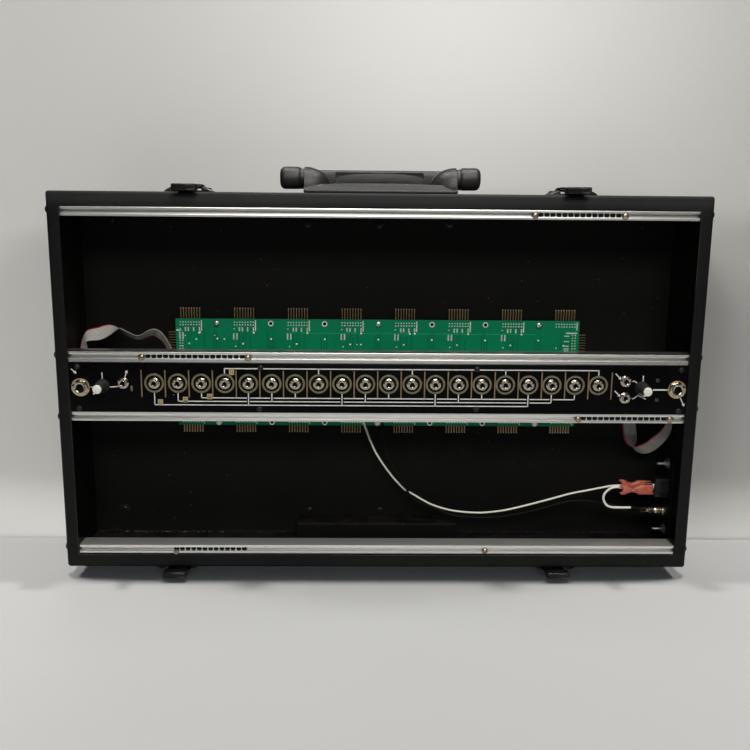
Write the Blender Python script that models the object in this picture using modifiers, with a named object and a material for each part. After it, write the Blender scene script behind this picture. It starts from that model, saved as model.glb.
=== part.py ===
"""Portable two-row module case with a 1U patch bay across its middle.

The case stands upright on one long side with its open front towards -Y, a
folding carry handle on top and four draw latches, two on top and two below.
World frame: metres, X to the right seen from the front, Y into the case, Z up;
the origin is on the resting plane under the middle of the bounding box.

All pieces are laid out in case coordinates, in millimetres:
  x from the middle of the case, y back from the plane of the front rim,
  z up from the middle of the case wall height.
case_point(x, y, z) turns these into world coordinates.
"""
import math

import bmesh
import bpy
from mathutils import Matrix, Vector

for old in list(bpy.data.objects):
    bpy.data.objects.remove(old, do_unlink=True)

MILLI = 0.001          # metres in a millimetre
SIDES = (-1, 1)        # left and right

# ------------------------------------------------- shared dimensions, mm
RIM_Y = -34.95         # world Y of the front rim plane
MID_Z = 175.5          # world Z of the middle of the case

CASE_W = 560.0         # outer width
CASE_H = 331.0         # outer height
CASE_D = 89.0          # outer depth
SHEET = 1.5            # steel sheet
LIP = 11.0             # rim turned in at the left and right of the opening
OPEN_X = CASE_W / 2 - LIP
OPEN_Z = (-153.8, 153.8)
IN_X = CASE_W / 2 - SHEET
IN_Z = CASE_H / 2 - SHEET
TOP = CASE_H / 2
GAP = 0.3              # clearance between neighbouring pieces
CUT_L = 6.0            # length of the cutters through thin plates

MODULE_UNIT = 5.08     # module width unit
ROW_HOLES = 122.5      # between the two hole lines of a 3U row
LINE_TOP = 149.0       # hole lines, z
LINE_UPPER_MID = LINE_TOP - ROW_HOLES
LINE_BOTTOM = -149.2
LINE_LOWER_MID = LINE_BOTTOM + ROW_HOLES
PANEL_MID_Z = -0.5
PANEL_LINE = 18.7      # 1U hole lines above and below the panel's middle

RAIL_FRONT = 2.0       # y of the rails' front face
SLOT_FLANGE = 1.8      # flange thickness in front of the slot cavity
PANEL_T = 1.6
PANEL_BACK = RAIL_FRONT - GAP
PANEL_FRONT = PANEL_BACK - PANEL_T
PCB_FRONT = 13.0       # y of the jack board's front
INLET_Y = 50.0         # middle of the power inlet plate

# places on the patch panel: name, x, z
BUS_JACKS = 20
BUS_X0 = -195.7        # first bus jack
BUS_PITCH = 4 * MODULE_UNIT
BUS_Z = 3.5
SMALL_JACKS = [(f"bus_jack_{i + 1:02d}", BUS_X0 + i * BUS_PITCH, BUS_Z) for i in range(BUS_JACKS)]
SMALL_JACKS += [
    ("input_jack_1", -222.4, 3.4),
    ("input_jack_2", 214.5, 7.3),
    ("input_jack_3", 214.5, -7.5),
]
LINE_JACKS = [("line_jack_left", -259.0, -0.4), ("line_jack_right", 259.5, 0.3)]
KNOBS = [("level_knob_left", -239.8, 1.1), ("level_knob_right", 228.2, 1.5)]

# ------------------------------------------------------------- collections
model = bpy.data.collections.new("patch_bay_case")
cutters = bpy.data.collections.new("cutters")
for collection in (model, cutters):
    bpy.context.scene.collection.children.link(collection)


# --------------------------------------------------------------- materials
def material(name, colour, roughness, metallic=0.0):
    mat = bpy.data.materials.new(name)
    mat.use_nodes = True
    inputs = mat.node_tree.nodes["Principled BSDF"].inputs
    inputs["Base Color"].default_value = (*colour, 1.0)
    inputs["Roughness"].default_value = roughness
    inputs["Metallic"].default_value = metallic
    mat.diffuse_color = (*colour, 1.0)
    return mat


POWDER_COAT = material("black_powder_coat", colour=(0.018, 0.018, 0.018), roughness=0.55)
ALUMINIUM = material("rail_aluminium", colour=(0.62, 0.62, 0.60), roughness=0.35, metallic=1.0)
STRIP_STEEL = material("strip_steel", colour=(0.55, 0.55, 0.54), roughness=0.4, metallic=1.0)
PANEL_BLACK = material("panel_black", colour=(0.012, 0.012, 0.012), roughness=0.45)
NICKEL = material("nickel", colour=(0.62, 0.60, 0.56), roughness=0.25, metallic=1.0)
BOARD_GREEN = material("board_green", colour=(0.01, 0.22, 0.09), roughness=0.4)
PLASTIC = material("black_plastic", colour=(0.02, 0.02, 0.02), roughness=0.5)
RUBBER = material("black_rubber", colour=(0.02, 0.02, 0.02), roughness=0.8)
BRASS = material("brass", colour=(0.55, 0.42, 0.18), roughness=0.35, metallic=1.0)
LATCH_BLACK = material("latch_black", colour=(0.015, 0.015, 0.015), roughness=0.35)


# ----------------------------------------------------------------- helpers
def case_point(x, y, z):
    """Case coordinates in mm to a world position in metres."""
    return Vector((x * MILLI, (RIM_Y + y) * MILLI, (MID_Z + z) * MILLI))


def span(middle, half):
    return (middle - half, middle + half)


def mesh_object(name, solid, origin, mat=None):
    """An object from a bmesh in world coordinates, with its origin at origin.

    Without a material it becomes a hidden helper for the boolean modifiers.
    """
    bmesh.ops.translate(solid, verts=solid.verts, vec=-origin)
    bmesh.ops.recalc_face_normals(solid, faces=solid.faces)
    mesh = bpy.data.meshes.new(name)
    solid.to_mesh(mesh)
    solid.free()
    part = bpy.data.objects.new(name, mesh)
    part.location = origin
    if mat is None:
        cutters.objects.link(part)
        part.hide_render = True
        part.display_type = 'WIRE'
    else:
        model.objects.link(part)
        mesh.materials.append(mat)
    return part


def add_box(solid, x, y, z):
    """Add a box between two case coordinates per axis, given in any order."""
    low = case_point(min(x), min(y), min(z))
    high = case_point(max(x), max(y), max(z))
    matrix = Matrix.Translation((low + high) / 2) @ Matrix.Diagonal((*(high - low), 1.0))
    return bmesh.ops.create_cube(solid, size=1.0, matrix=matrix)["verts"]


def add_cylinder(solid, centre, axis, radius, length, segments):
    """Add a cylinder centred on a case coordinate, along X or Y."""
    turn = Matrix.Rotation(math.pi / 2, 4, {"X": 'Y', "Y": 'X'}[axis])
    bmesh.ops.create_cone(
        solid, cap_ends=True, cap_tris=False, segments=segments,
        radius1=radius * MILLI, radius2=radius * MILLI, depth=length * MILLI,
        matrix=Matrix.Translation(case_point(*centre)) @ turn)


def add_extrusion(solid, outline, axis, low, high):
    """Sweep a closed outline, (y, z) pairs along X or (x, z) pairs along Y."""
    length = (high - low) * MILLI
    if axis == "X":
        corners = [case_point(low, y, z) for y, z in outline]
        step = Vector((length, 0, 0))
    else:
        corners = [case_point(x, low, z) for x, z in outline]
        step = Vector((0, length, 0))
    face = solid.faces.new([solid.verts.new(corner) for corner in corners])
    grown = bmesh.ops.extrude_face_region(solid, geom=[face])["geom"]
    moved = [item for item in grown if isinstance(item, bmesh.types.BMVert)]
    bmesh.ops.translate(solid, verts=moved, vec=step)


def round_edges(part, width):
    bevel = part.modifiers.new("edges", 'BEVEL')
    bevel.width = width * MILLI
    bevel.segments = 2
    bevel.limit_method = 'ANGLE'
    return bevel


def box(name, x, y, z, mat=None, origin=None, bevel=0.0):
    solid = bmesh.new()
    add_box(solid, x, y, z)
    if origin is None:
        origin = case_point(sum(x) / 2, sum(y) / 2, sum(z) / 2)
    part = mesh_object(name, solid, origin, mat)
    if bevel:
        round_edges(part, bevel)
    return part


def helper_cylinder(name, centre, axis, radius, length, segments):
    solid = bmesh.new()
    add_cylinder(solid, centre, axis, radius, length, segments)
    return mesh_object(name, solid, case_point(*centre))


def extruded(name, outline, axis, low, high, mat, origin):
    solid = bmesh.new()
    add_extrusion(solid, outline, axis, low, high)
    return mesh_object(name, solid, origin, mat)


def boolean(part, other, operation):
    modifier = part.modifiers.new(operation.lower() + "_" + other.name, 'BOOLEAN')
    modifier.operation = operation
    modifier.object = other
    modifier.solver = 'EXACT'


def join(part, helper):
    boolean(part, helper, 'UNION')


def cut(part, name, build):
    """Subtract everything that build(solid) adds."""
    solid = bmesh.new()
    build(solid)
    cutter = mesh_object(part.name + "_" + name, solid, Vector(part.location))
    boolean(part, cutter, 'DIFFERENCE')


def cut_box(part, name, x, y, z):
    cut(part, name, lambda solid: add_box(solid, x, y, z))


def turned_mesh(name, mat, profile):
    """An open profile of (radius, height) in mm, to be turned about local Z."""
    mesh = bpy.data.meshes.new(name)
    points = [(radius * MILLI, 0.0, height * MILLI) for radius, height in profile]
    mesh.from_pydata(points, [(i, i + 1) for i in range(len(points) - 1)], [])
    mesh.update()
    mesh.materials.append(mat)
    return mesh


FACING_FRONT = (math.pi / 2, 0, 0)     # local +Z points to -Y
FACING_RIGHT = (0, math.pi / 2, 0)     # local +Z points to +X


def turned(name, mesh, centre, facing, steps):
    part = bpy.data.objects.new(name, mesh)
    part.location = case_point(*centre)
    part.rotation_euler = facing
    screw = part.modifiers.new("turn", 'SCREW')
    screw.axis = 'Z'
    screw.angle = 2 * math.pi
    screw.steps = steps
    screw.render_steps = steps
    screw.use_merge_vertices = True
    screw.merge_threshold = 0.00001
    screw.use_smooth_shade = True
    model.objects.link(part)


def smooth(part):
    part.data.shade_smooth()
    part.data.set_sharp_from_angle(angle=math.radians(35.0))


# -------------------------------------------------------------- case shell
def case_shell():
    shell = box("case_shell", span(0, CASE_W / 2), (0, CASE_D), span(0, CASE_H / 2),
                POWDER_COAT, bevel=2.0)
    cut_box(shell, "hollow", span(0, IN_X), (SHEET, CASE_D - SHEET), span(0, IN_Z))
    cut_box(shell, "front_opening", span(0, OPEN_X), (-5, SHEET + 2), OPEN_Z)
    # window in the right wall for the power inlet plate
    cut_box(shell, "inlet_window", (IN_X - 3, IN_X + 6), span(INLET_Y, 10.0), (-138.0, -90.0))


case_shell()

# ------------------------------------------------------------------- rails
RAIL_X = IN_X - GAP    # half length
RAIL_BACK = RAIL_FRONT + 18.6
RAIL_HALF = 4.0        # from a hole line to the rail's outer edge
RAIL_WALL = 1.6        # above and below the back channel
SLOT_WEB = 2.0         # between the slot cavity and the back channel
MOUTH_HALF = 1.65      # half the slot mouth
CAVITY_HALF = 2.95     # half the cavity height
CAVITY_FRONT = RAIL_FRONT + SLOT_FLANGE
CAVITY_BACK = CAVITY_FRONT + 2.7
OVERCUT = 2            # how far rail cutters pass the ends and the back


def rail(name, *lines):
    """An extrusion with a T slot on each hole line and a channel at the back."""
    low = min(lines) - RAIL_HALF
    high = max(lines) + RAIL_HALF
    part = box(name, span(0, RAIL_X), (RAIL_FRONT, RAIL_BACK), (low, high), ALUMINIUM)
    cut_front = RAIL_FRONT - 1.0

    def slots(solid):
        for line in lines:
            # a mouth and a wider cavity, as one T-shaped outline of (y, z)
            outline = [
                (cut_front, line - MOUTH_HALF), (CAVITY_FRONT, line - MOUTH_HALF),
                (CAVITY_FRONT, line - CAVITY_HALF), (CAVITY_BACK, line - CAVITY_HALF),
                (CAVITY_BACK, line + CAVITY_HALF), (CAVITY_FRONT, line + CAVITY_HALF),
                (CAVITY_FRONT, line + MOUTH_HALF), (cut_front, line + MOUTH_HALF),
            ]
            add_extrusion(solid, outline, "X", -RAIL_X - OVERCUT, RAIL_X + OVERCUT)

    def ends(solid):
        for side in SIDES:
            add_box(solid, (side * (OPEN_X - GAP), side * (RAIL_X + OVERCUT)),
                    (cut_front, CAVITY_FRONT + 0.5), (low - 1, high + 1))

    cut(part, "slots", slots)
    # the flanges stop just inside the case opening; the bare ends sit behind the rim
    cut(part, "ends", ends)
    cut_box(part, "back_channel", span(0, RAIL_X + OVERCUT),
            (CAVITY_BACK + SLOT_WEB, RAIL_BACK + OVERCUT),
            span((low + high) / 2, (high - low) / 2 - RAIL_WALL))


rail("top_rail", LINE_TOP)
rail("upper_middle_rail", LINE_UPPER_MID, PANEL_MID_Z + PANEL_LINE)
rail("lower_middle_rail", LINE_LOWER_MID, PANEL_MID_Z - PANEL_LINE)
rail("bottom_rail", LINE_BOTTOM)

# ------------------------------------------------- sliding threaded strips
STRIP_HALF = 2.6       # half height
STRIP_T = 1.9
STRIP_END = 2.4        # from the last hole to the end
STRIP_Y = CAVITY_FRONT + GAP + 0.05

# name, hole line, x of the first hole, number of holes
STRIPS = (
    ("top_threaded_strip", LINE_TOP, 129.1, 16),
    ("upper_middle_threaded_strip", LINE_UPPER_MID, -206.2, 19),
    ("lower_middle_threaded_strip", LINE_LOWER_MID, 175.1, 17),
    ("bottom_threaded_strip", LINE_BOTTOM, -182.15, 13),
)


def strip(name, line, first, count):
    """A strip in a rail slot with holes one module unit apart."""
    last = first + (count - 1) * MODULE_UNIT
    part = box(name, (first - STRIP_END, last + STRIP_END), (STRIP_Y, STRIP_Y + STRIP_T),
               span(line, STRIP_HALF), STRIP_STEEL,
               origin=case_point((first + last) / 2, STRIP_Y, line))

    def holes(solid):
        for i in range(count):
            add_cylinder(solid, (first + i * MODULE_UNIT, STRIP_Y + 1.0, line), "Y",
                         radius=1.25, length=CUT_L, segments=6)
    cut(part, "holes", holes)


for entry in STRIPS:
    strip(*entry)

# ------------------------------------------------------------- patch panel
PANEL_HALF_X = 268.4
PANEL_H = 43.6
WINDOWS = ((-215.4, -1.4), (242.5, 8.3), (242.9, -9.1))    # small upright windows: x, z
WINDOW_HALF = (1.0, 2.5)                                   # half width and height


def panel_holes(solid):
    y = (PANEL_FRONT + PANEL_BACK) / 2
    for places, radius, segments in (
            (SMALL_JACKS, 3.35, 10), (LINE_JACKS, 5.1, 16), (KNOBS, 3.6, 12)):
        for _, x, z in places:
            add_cylinder(solid, (x, y, z), "Y", radius, CUT_L, segments)
    for x, z in WINDOWS:
        add_box(solid, span(x, WINDOW_HALF[0]), span(y, CUT_L / 2), span(z, WINDOW_HALF[1]))


panel = box("patch_panel", span(0, PANEL_HALF_X), (PANEL_FRONT, PANEL_BACK),
            span(PANEL_MID_Z, PANEL_H / 2), PANEL_BLACK)
cut(panel, "holes", panel_holes)

# -------------------------------------------- jack board with its pot bodies
BOARD_T = 1.6          # both circuit boards

jack_board = box("jack_board", span(0, 246.0), (PCB_FRONT, PCB_FRONT + BOARD_T),
                 span(PANEL_MID_Z, 12.8), BOARD_GREEN)
for knob_name, x, z in KNOBS:
    join(jack_board, box("pot_body_" + knob_name, span(x, 4.9),
                         (PCB_FRONT - 6.0, PCB_FRONT + 0.5), span(z, 5.4)))

# --------------------------------------------------------- jacks and knobs
# profiles of (radius, height forward from the panel's front face)
BORE = 1.85
BEHIND_PANEL = -PANEL_T - GAP
JACK_BACK = -(PCB_FRONT - GAP - PANEL_FRONT)

jack_mesh = turned_mesh("jack_profile", NICKEL, [
    (0.0, -10.0), (BORE, -10.0), (BORE, 3.0), (2.95, 3.0),
    (2.95, 2.3), (4.85, 2.3), (4.85, GAP), (2.95, GAP),
    (2.95, BEHIND_PANEL), (4.5, BEHIND_PANEL), (4.5, JACK_BACK), (0.0, JACK_BACK),
])
line_jack_mesh = turned_mesh("line_jack_profile", NICKEL, [
    (0.0, -22.0), (3.2, -22.0), (3.2, 3.6), (4.7, 3.6), (4.7, 2.6),
    (6.5, 2.6), (6.5, 0.9), (8.1, 0.9), (8.1, GAP), (4.7, GAP),
    (4.7, BEHIND_PANEL), (8.4, BEHIND_PANEL), (8.4, -26.0), (0.0, -26.0),
])
knob_mesh = turned_mesh("knob_profile", PLASTIC, [
    (0.0, 19.2), (4.1, 19.2), (4.1, 15.0), (4.9, 13.8), (5.5, 4.5),
    (6.6, 3.4), (6.8, 0.7), (3.0, 0.7), (3.0, -5.0), (0.0, -5.0),
])
for places, mesh, steps in (
        (SMALL_JACKS, jack_mesh, 10), (LINE_JACKS, line_jack_mesh, 14), (KNOBS, knob_mesh, 12)):
    for name, x, z in places:
        turned(name, mesh, (x, PANEL_FRONT, z), FACING_FRONT, steps)

# ------------------------------------------------------------- power board
BOARD_FRONT = 76.0
BOARD_HOLE_PITCH = 50.8
BOARD_HOLE_ROWS = (46.8, -48.9)    # z


def board_holes(solid):
    for i in range(-3, 4):
        for z in BOARD_HOLE_ROWS:
            add_cylinder(solid, (i * BOARD_HOLE_PITCH, BOARD_FRONT + BOARD_T / 2, z), "Y",
                         radius=1.7, length=CUT_L, segments=8)


power_board = box("power_board", span(0, 191.2), (BOARD_FRONT, BOARD_FRONT + BOARD_T),
                  (-51.6, 51.0), BOARD_GREEN)
cut(power_board, "holes", board_holes)

# ---------------------- stiffening bracket, an inverted channel on the floor
FLOOR_Z = -IN_Z + GAP
BRACKET_OUTLINE = [    # y, z
    (61.0, FLOOR_Z), (62.5, FLOOR_Z), (62.5, -147.0), (85.6, -147.0),
    (85.6, FLOOR_Z), (87.2, FLOOR_Z), (87.2, -145.5), (61.0, -145.5),
]
extruded("stiffening_bracket", BRACKET_OUTLINE, "X", -77.0, 77.0, POWDER_COAT,
         case_point(0, 74, -155))

# --------------------------------------- power inlet, inside the right wall
PLATE_T = 2.0
PLATE_OUT = IN_X - GAP             # x of the plate's outer face
PLATE_IN = PLATE_OUT - PLATE_T
BOLT_Z = (-146.2, -81.0)
ROCKER_Z = -103.7
SOCKET_Z = -127.6
BEZEL_IN = PLATE_OUT + GAP


def inlet_plate():
    plate = box("inlet_plate", (PLATE_IN, PLATE_OUT), span(INLET_Y, 13.0), (-152.1, -75.1),
                POWDER_COAT)
    middle = (PLATE_IN + PLATE_OUT) / 2

    def holes(solid):
        add_box(solid, (PLATE_IN - 3, PLATE_OUT + 3), span(INLET_Y, 6.4), span(ROCKER_Z, 9.2))
        add_cylinder(solid, (middle, INLET_Y, SOCKET_Z), "X", radius=4.4, length=8.0, segments=16)
        for z in BOLT_Z:
            add_cylinder(solid, (middle, INLET_Y, z), "X", radius=1.7, length=8.0, segments=10)
    cut(plate, "holes", holes)


def switch_body():
    """Rocker switch body behind the plate, with its bezel outside the plate."""
    body = box("power_switch_body", (263.3, BEZEL_IN + 0.4), span(INLET_Y, 6.1),
               span(ROCKER_Z, 8.8), PLASTIC)
    join(body, box("switch_bezel", (BEZEL_IN, 279.7), span(INLET_Y, 7.8), span(ROCKER_Z, 10.8)))
    cut_box(body, "pocket", (271.0, 285.0), span(INLET_Y, 4.9), span(ROCKER_Z, 8.0))


ROCKER_AXIS_X = 276.6
ROCKER_TILT = math.radians(12.0)
ROCKER_OUTLINE = (     # distance up, distance outward, before tilting
    (-7.4, 0.4), (-7.4, 1.5), (0.0, 0.7), (7.4, 1.5), (7.4, 0.4), (4.0, -2.2), (-4.0, -2.2))


def switch_rocker():
    """A shallow V outside and a tapered belly inside, tilted about its middle."""
    cos = math.cos(ROCKER_TILT)
    sin = math.sin(ROCKER_TILT)
    outline = [(ROCKER_AXIS_X + out * cos + up * sin, ROCKER_Z + up * cos - out * sin)
               for up, out in ROCKER_OUTLINE]
    extruded("power_switch_rocker", outline, "Y", INLET_Y - 4.5, INLET_Y + 4.5, PLASTIC,
             case_point(ROCKER_AXIS_X, INLET_Y, ROCKER_Z))


inlet_plate()
switch_body()
switch_rocker()

# DC socket: radius, height outward from the plate's outer face
socket_mesh = turned_mesh("socket_profile", BRASS, [
    (0.0, 0.3), (0.95, 0.0), (0.95, -9.0), (2.8, -9.0),
    (2.8, 1.4), (5.8, 1.4), (6.1, 1.1), (6.1, GAP),
    (4.0, GAP), (4.0, -PLATE_T - GAP), (5.3, -PLATE_T - GAP), (5.3, -11.0),
    (4.6, -11.6), (4.6, -19.0), (3.0, -21.0), (0.0, -21.0),
])
turned("dc_power_socket", socket_mesh, (PLATE_OUT, INLET_Y, SOCKET_Z), FACING_RIGHT, 12)

# ------------------------------------------------------------------ handle
HANDLE_X = -0.9
HINGE_Y = 30.0         # handle pivot
HINGE_Z = 178.7
HANDLE_BODY_Y = 33     # between the body's front and back edges
LUG_X = 65.0           # from the handle's middle
LUG_RADII = (22.5, 14.5, 18.0)
ARM_X = (66.9, 86.0)   # inner and outer face of a grip arm


def from_handle(side, *distances):
    """x at distances from the handle's middle towards one side."""
    return [HANDLE_X + side * distance for distance in distances]


def handle_body():
    """The raised middle of the handle base, narrowing upwards."""
    solid = bmesh.new()
    verts = add_box(solid, span(HANDLE_X, 65.6), (15.0, 50.0), (TOP + 2.0, TOP + 8.6))
    middle = case_point(0, HANDLE_BODY_Y, TOP + 6)
    for vert in verts:
        if vert.co.z > middle.z:
            vert.co.y += (3.0 if vert.co.y < middle.y else -2.0) * MILLI
            vert.co.x += (0.4 if vert.co.x < 0 else -0.4) * MILLI
    return mesh_object("handle_base_body", solid, case_point(HANDLE_X, HANDLE_BODY_Y, TOP + 5))


def handle_lug(side):
    """The inner part of an ellipsoid, cut flat on its outer side and below."""
    centre = case_point(HANDLE_X + side * LUG_X, HINGE_Y, TOP + 5.0)
    matrix = Matrix.Translation(centre) @ Matrix.Diagonal((*LUG_RADII, 1.0))
    solid = bmesh.new()
    bmesh.ops.create_uvsphere(solid, u_segments=20, v_segments=12, radius=MILLI, matrix=matrix)
    lug = mesh_object(f"handle_lug_{side}", solid, centre)
    keep = box(f"handle_lug_keep_{side}", from_handle(side, 65.2, 40.0), (10, 60),
               (TOP + 1.2, TOP + 30))
    boolean(lug, keep, 'INTERSECT')
    return lug


def handle_base():
    base = box("handle_base", span(HANDLE_X, 67.0), (12.0, 52.0), (TOP + GAP, TOP + 2.9),
               RUBBER, bevel=1.0)
    join(base, handle_body())
    for side in SIDES:
        join(base, handle_lug(side))

    def pivot_holes(solid):
        for side in SIDES:
            add_cylinder(solid, (HANDLE_X + side * 62.0, HINGE_Y, HINGE_Z), "X",
                         radius=3.4, length=12.0, segments=12)
    cut(base, "pivot_holes", pivot_holes)
    smooth(base)


def handle_grip():
    """A bar joined by arms to two hubs outside the lugs, folded back at rest."""
    grip = box("handle_grip", span(HANDLE_X, ARM_X[1]), (HINGE_Y + 25.5, HINGE_Y + 41.5),
               (170.6, 187.0), RUBBER, origin=case_point(HANDLE_X, HINGE_Y, HINGE_Z), bevel=5.0)
    for side in SIDES:
        join(grip, box(f"grip_arm_{side}", from_handle(side, *ARM_X), (HINGE_Y, HINGE_Y + 34.0),
                       span(HINGE_Z, 7.6), bevel=4.0))
        hub = helper_cylinder(f"grip_hub_{side}", (HANDLE_X + side * 76.5, HINGE_Y, HINGE_Z), "X",
                              radius=9.4, length=19.3, segments=16)
        # only the rims are sharper than this limit, not the facets of the wall
        round_edges(hub, 3.2).angle_limit = math.radians(50)
        join(grip, hub)
        join(grip, helper_cylinder(
            f"grip_pin_{side}", (HANDLE_X + side * 63.5, HINGE_Y, HINGE_Z), "X",
            radius=3.0, length=12.0, segments=12))
    smooth(grip)


handle_base()
handle_grip()

# ----------------------------------------------------------------- latches
# label, x, and 1 for the top wall or -1 for the bottom wall
LATCHES = (
    ("upper_left", -163.0, 1),
    ("upper_right", 162.0, 1),
    ("lower_left", -182.0, -1),
    ("lower_right", 161.5, -1),
)
PIVOT_Y = 30.0         # lever pivot
PIVOT_H = 4.2          # height of both pivots off the wall
HOOK_ARM = 7.0         # lever pivot to hook pivot
EAR_X = 8.4            # middle of an ear, from the latch's middle
EAR_T = 1.2
EAR_R = 2.2
CHEEK_X = 9.9          # middle of a lever cheek, from the latch's middle
CHEEK_T = 1.0
CHEEK_R = 2.3
LEVER_TOP = 6.6        # height off the wall
LATCH_BASE_OUTLINE = (   # x from the latch's middle, height off the wall
    (-19.0, GAP), (19.0, GAP), (19.0, 0.9), (15.2, 3.2), (11.9, 3.2),
    (11.9, 1.2), (-11.9, 1.2), (-11.9, 3.2), (-15.2, 3.2), (-19.0, 0.9))


def latch(label, middle, direction):
    """Draw latch: a fixed base, a lever on a pin, and a hook pinned to the lever."""
    wall = direction * CASE_H / 2
    pivot_z = wall + direction * PIVOT_H
    hook_y = PIVOT_Y - HOOK_ARM

    def latch_box(name, x, ahead, height, **options):
        """A box by its distances ahead of the lever pivot and heights off the wall."""
        return box(f"{label}_{name}", x, [PIVOT_Y - distance for distance in ahead],
                   [wall + direction * value for value in height], **options)

    def pin(name, x, y, radius, length, segments):
        return helper_cylinder(f"{label}_{name}", (x, y, pivot_z), "X", radius, length, segments)

    # base: a shallow channel with sloping sides, two ears and the lever pins
    wall_point = case_point(middle, PIVOT_Y, wall)
    outline = [(middle + x, wall + direction * height) for x, height in LATCH_BASE_OUTLINE]
    base = extruded(label + "_latch_base", outline, "Y", PIVOT_Y - 25.5, PIVOT_Y + 6.0,
                    LATCH_BLACK, wall_point)
    for side in SIDES:
        ear_x = middle + side * EAR_X
        join(base, latch_box(f"ear_{side}", span(ear_x, EAR_T / 2), span(0, EAR_R),
                             (0.8, PIVOT_H), origin=wall_point))
        join(base, pin(f"ear_top_{side}", ear_x, PIVOT_Y, EAR_R, EAR_T, segments=12))
        join(base, pin(f"pin_{side}", middle + side * 9.0, PIVOT_Y, 1.0, 2.3, segments=10))

    # lever: a cover plate with a cheek down each side
    lever = latch_box("latch_lever", span(middle, 10.4), (3.0, 22.0), (5.6, LEVER_TOP),
                      mat=LATCH_BLACK, origin=case_point(middle, PIVOT_Y, pivot_z))
    for side in SIDES:
        cheek_x = middle + side * CHEEK_X
        join(lever, latch_box(f"cheek_{side}", span(cheek_x, CHEEK_T / 2), (0.0, 11.0),
                              (PIVOT_H - CHEEK_R, LEVER_TOP)))
        join(lever, pin(f"cheek_end_{side}", cheek_x, PIVOT_Y, CHEEK_R, CHEEK_T, segments=12))

    def pin_holes(solid):
        for side in SIDES:
            for y, radius in ((PIVOT_Y, 1.3), (hook_y, 1.4)):
                add_cylinder(solid, (middle + side * CHEEK_X, y, pivot_z), "X",
                             radius, length=3.0, segments=10)
    cut(lever, "pin_holes", pin_holes)

    # hook: a tongue between the ears and a wide, thicker nose ahead of the rim
    hook = latch_box("latch_hook", span(middle, 7.4), (HOOK_ARM, 33.0), span(PIVOT_H, 0.8),
                     mat=LATCH_BLACK, origin=case_point(middle, hook_y, pivot_z))
    join(hook, pin("hook_pin", middle, hook_y, 1.1, 20.2, segments=10))
    join(hook, latch_box("nose", span(middle, 10.3), (32.0, 42.0), (0.4, 6.2), bevel=1.2))


for entry in LATCHES:
    latch(*entry)

# -------------------------------------------------------------------- feet
for name, x in (("left_foot", -225.0), ("right_foot", 225.0)):
    # from the resting plane up to just under the case
    box(name, span(x, 14.0), (24.0, 82.0), (-MID_Z, -CASE_H / 2 - GAP), RUBBER, bevel=2.0)
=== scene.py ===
"""A portable module case with rails, a patch panel across its middle and a power board inside.

The case stands upright with its open front towards -y.  Sizes are in millimetres in case
coordinates: x from the middle of the case, y back from the plane of the front rim, z up from
the middle of the case height.  place() turns them into metres in the row frame.
"""
import math
import random
import bpy
import bmesh
from mathutils import Matrix, Vector


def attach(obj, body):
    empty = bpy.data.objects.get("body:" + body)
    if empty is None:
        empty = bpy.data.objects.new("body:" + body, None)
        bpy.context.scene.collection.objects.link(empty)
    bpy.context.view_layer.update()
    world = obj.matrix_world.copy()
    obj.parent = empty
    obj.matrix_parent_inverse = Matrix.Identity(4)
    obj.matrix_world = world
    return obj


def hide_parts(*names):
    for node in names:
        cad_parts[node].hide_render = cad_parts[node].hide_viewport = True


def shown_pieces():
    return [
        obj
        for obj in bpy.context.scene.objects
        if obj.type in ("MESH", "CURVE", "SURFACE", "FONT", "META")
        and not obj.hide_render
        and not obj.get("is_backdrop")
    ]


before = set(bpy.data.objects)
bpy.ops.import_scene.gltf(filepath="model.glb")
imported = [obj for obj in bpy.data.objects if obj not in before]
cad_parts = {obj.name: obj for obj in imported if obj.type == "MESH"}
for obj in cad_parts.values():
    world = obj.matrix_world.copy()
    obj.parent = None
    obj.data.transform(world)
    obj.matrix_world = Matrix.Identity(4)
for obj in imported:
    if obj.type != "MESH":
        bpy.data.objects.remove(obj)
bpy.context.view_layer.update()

MM = 0.001
RIM_Y = -34.95                      # the front rim and the mid height in the row frame
MID_Z = 175.5
CASE_W, CASE_H, CASE_D = 560.0, 331.0, 89.0
SHEET = 1.5                         # thickness of the case walls
IN_X, IN_Z = CASE_W / 2 - SHEET, CASE_H / 2 - SHEET     # inner faces of the walls
BACK_Y = CASE_D - SHEET             # inner face of the back
TOP = CASE_H / 2
OPEN_X, OPEN_Z = 269.0, 153.8       # half size of the front opening
HP = 5.08                           # module width unit
# heights of the screw lines on the rails
LINE_TOP, LINE_UP, LINE_LOW, LINE_BOT = 149.0, 26.5, -26.7, -149.2
PANEL_LINES = (18.2, -19.2)
RAIL_Y0, RAIL_Y1 = 2.0, 20.6        # front and back of the rails
PANEL_Y = 0.1                       # front of the patch panel
PANEL_Z = (-22.3, 21.3)
BOARD_Y = 76.0                      # front of the power board
BOARD_SCREWS = [(x, z) for x in (-152.4, 0.0, 152.4) for z in (46.8, -48.9)]
SIDES = ((-1, "-X", "+X"), (1, "+X", "-X"))     # sign of x, facing outwards, facing inwards


def place(x, y, z):
    """Case coordinates to metres in the row frame."""
    return Vector((x * MM, (RIM_Y + y) * MM, (MID_Z + z) * MM))


def about(centre, half):
    return (centre - half, centre + half)


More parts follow.
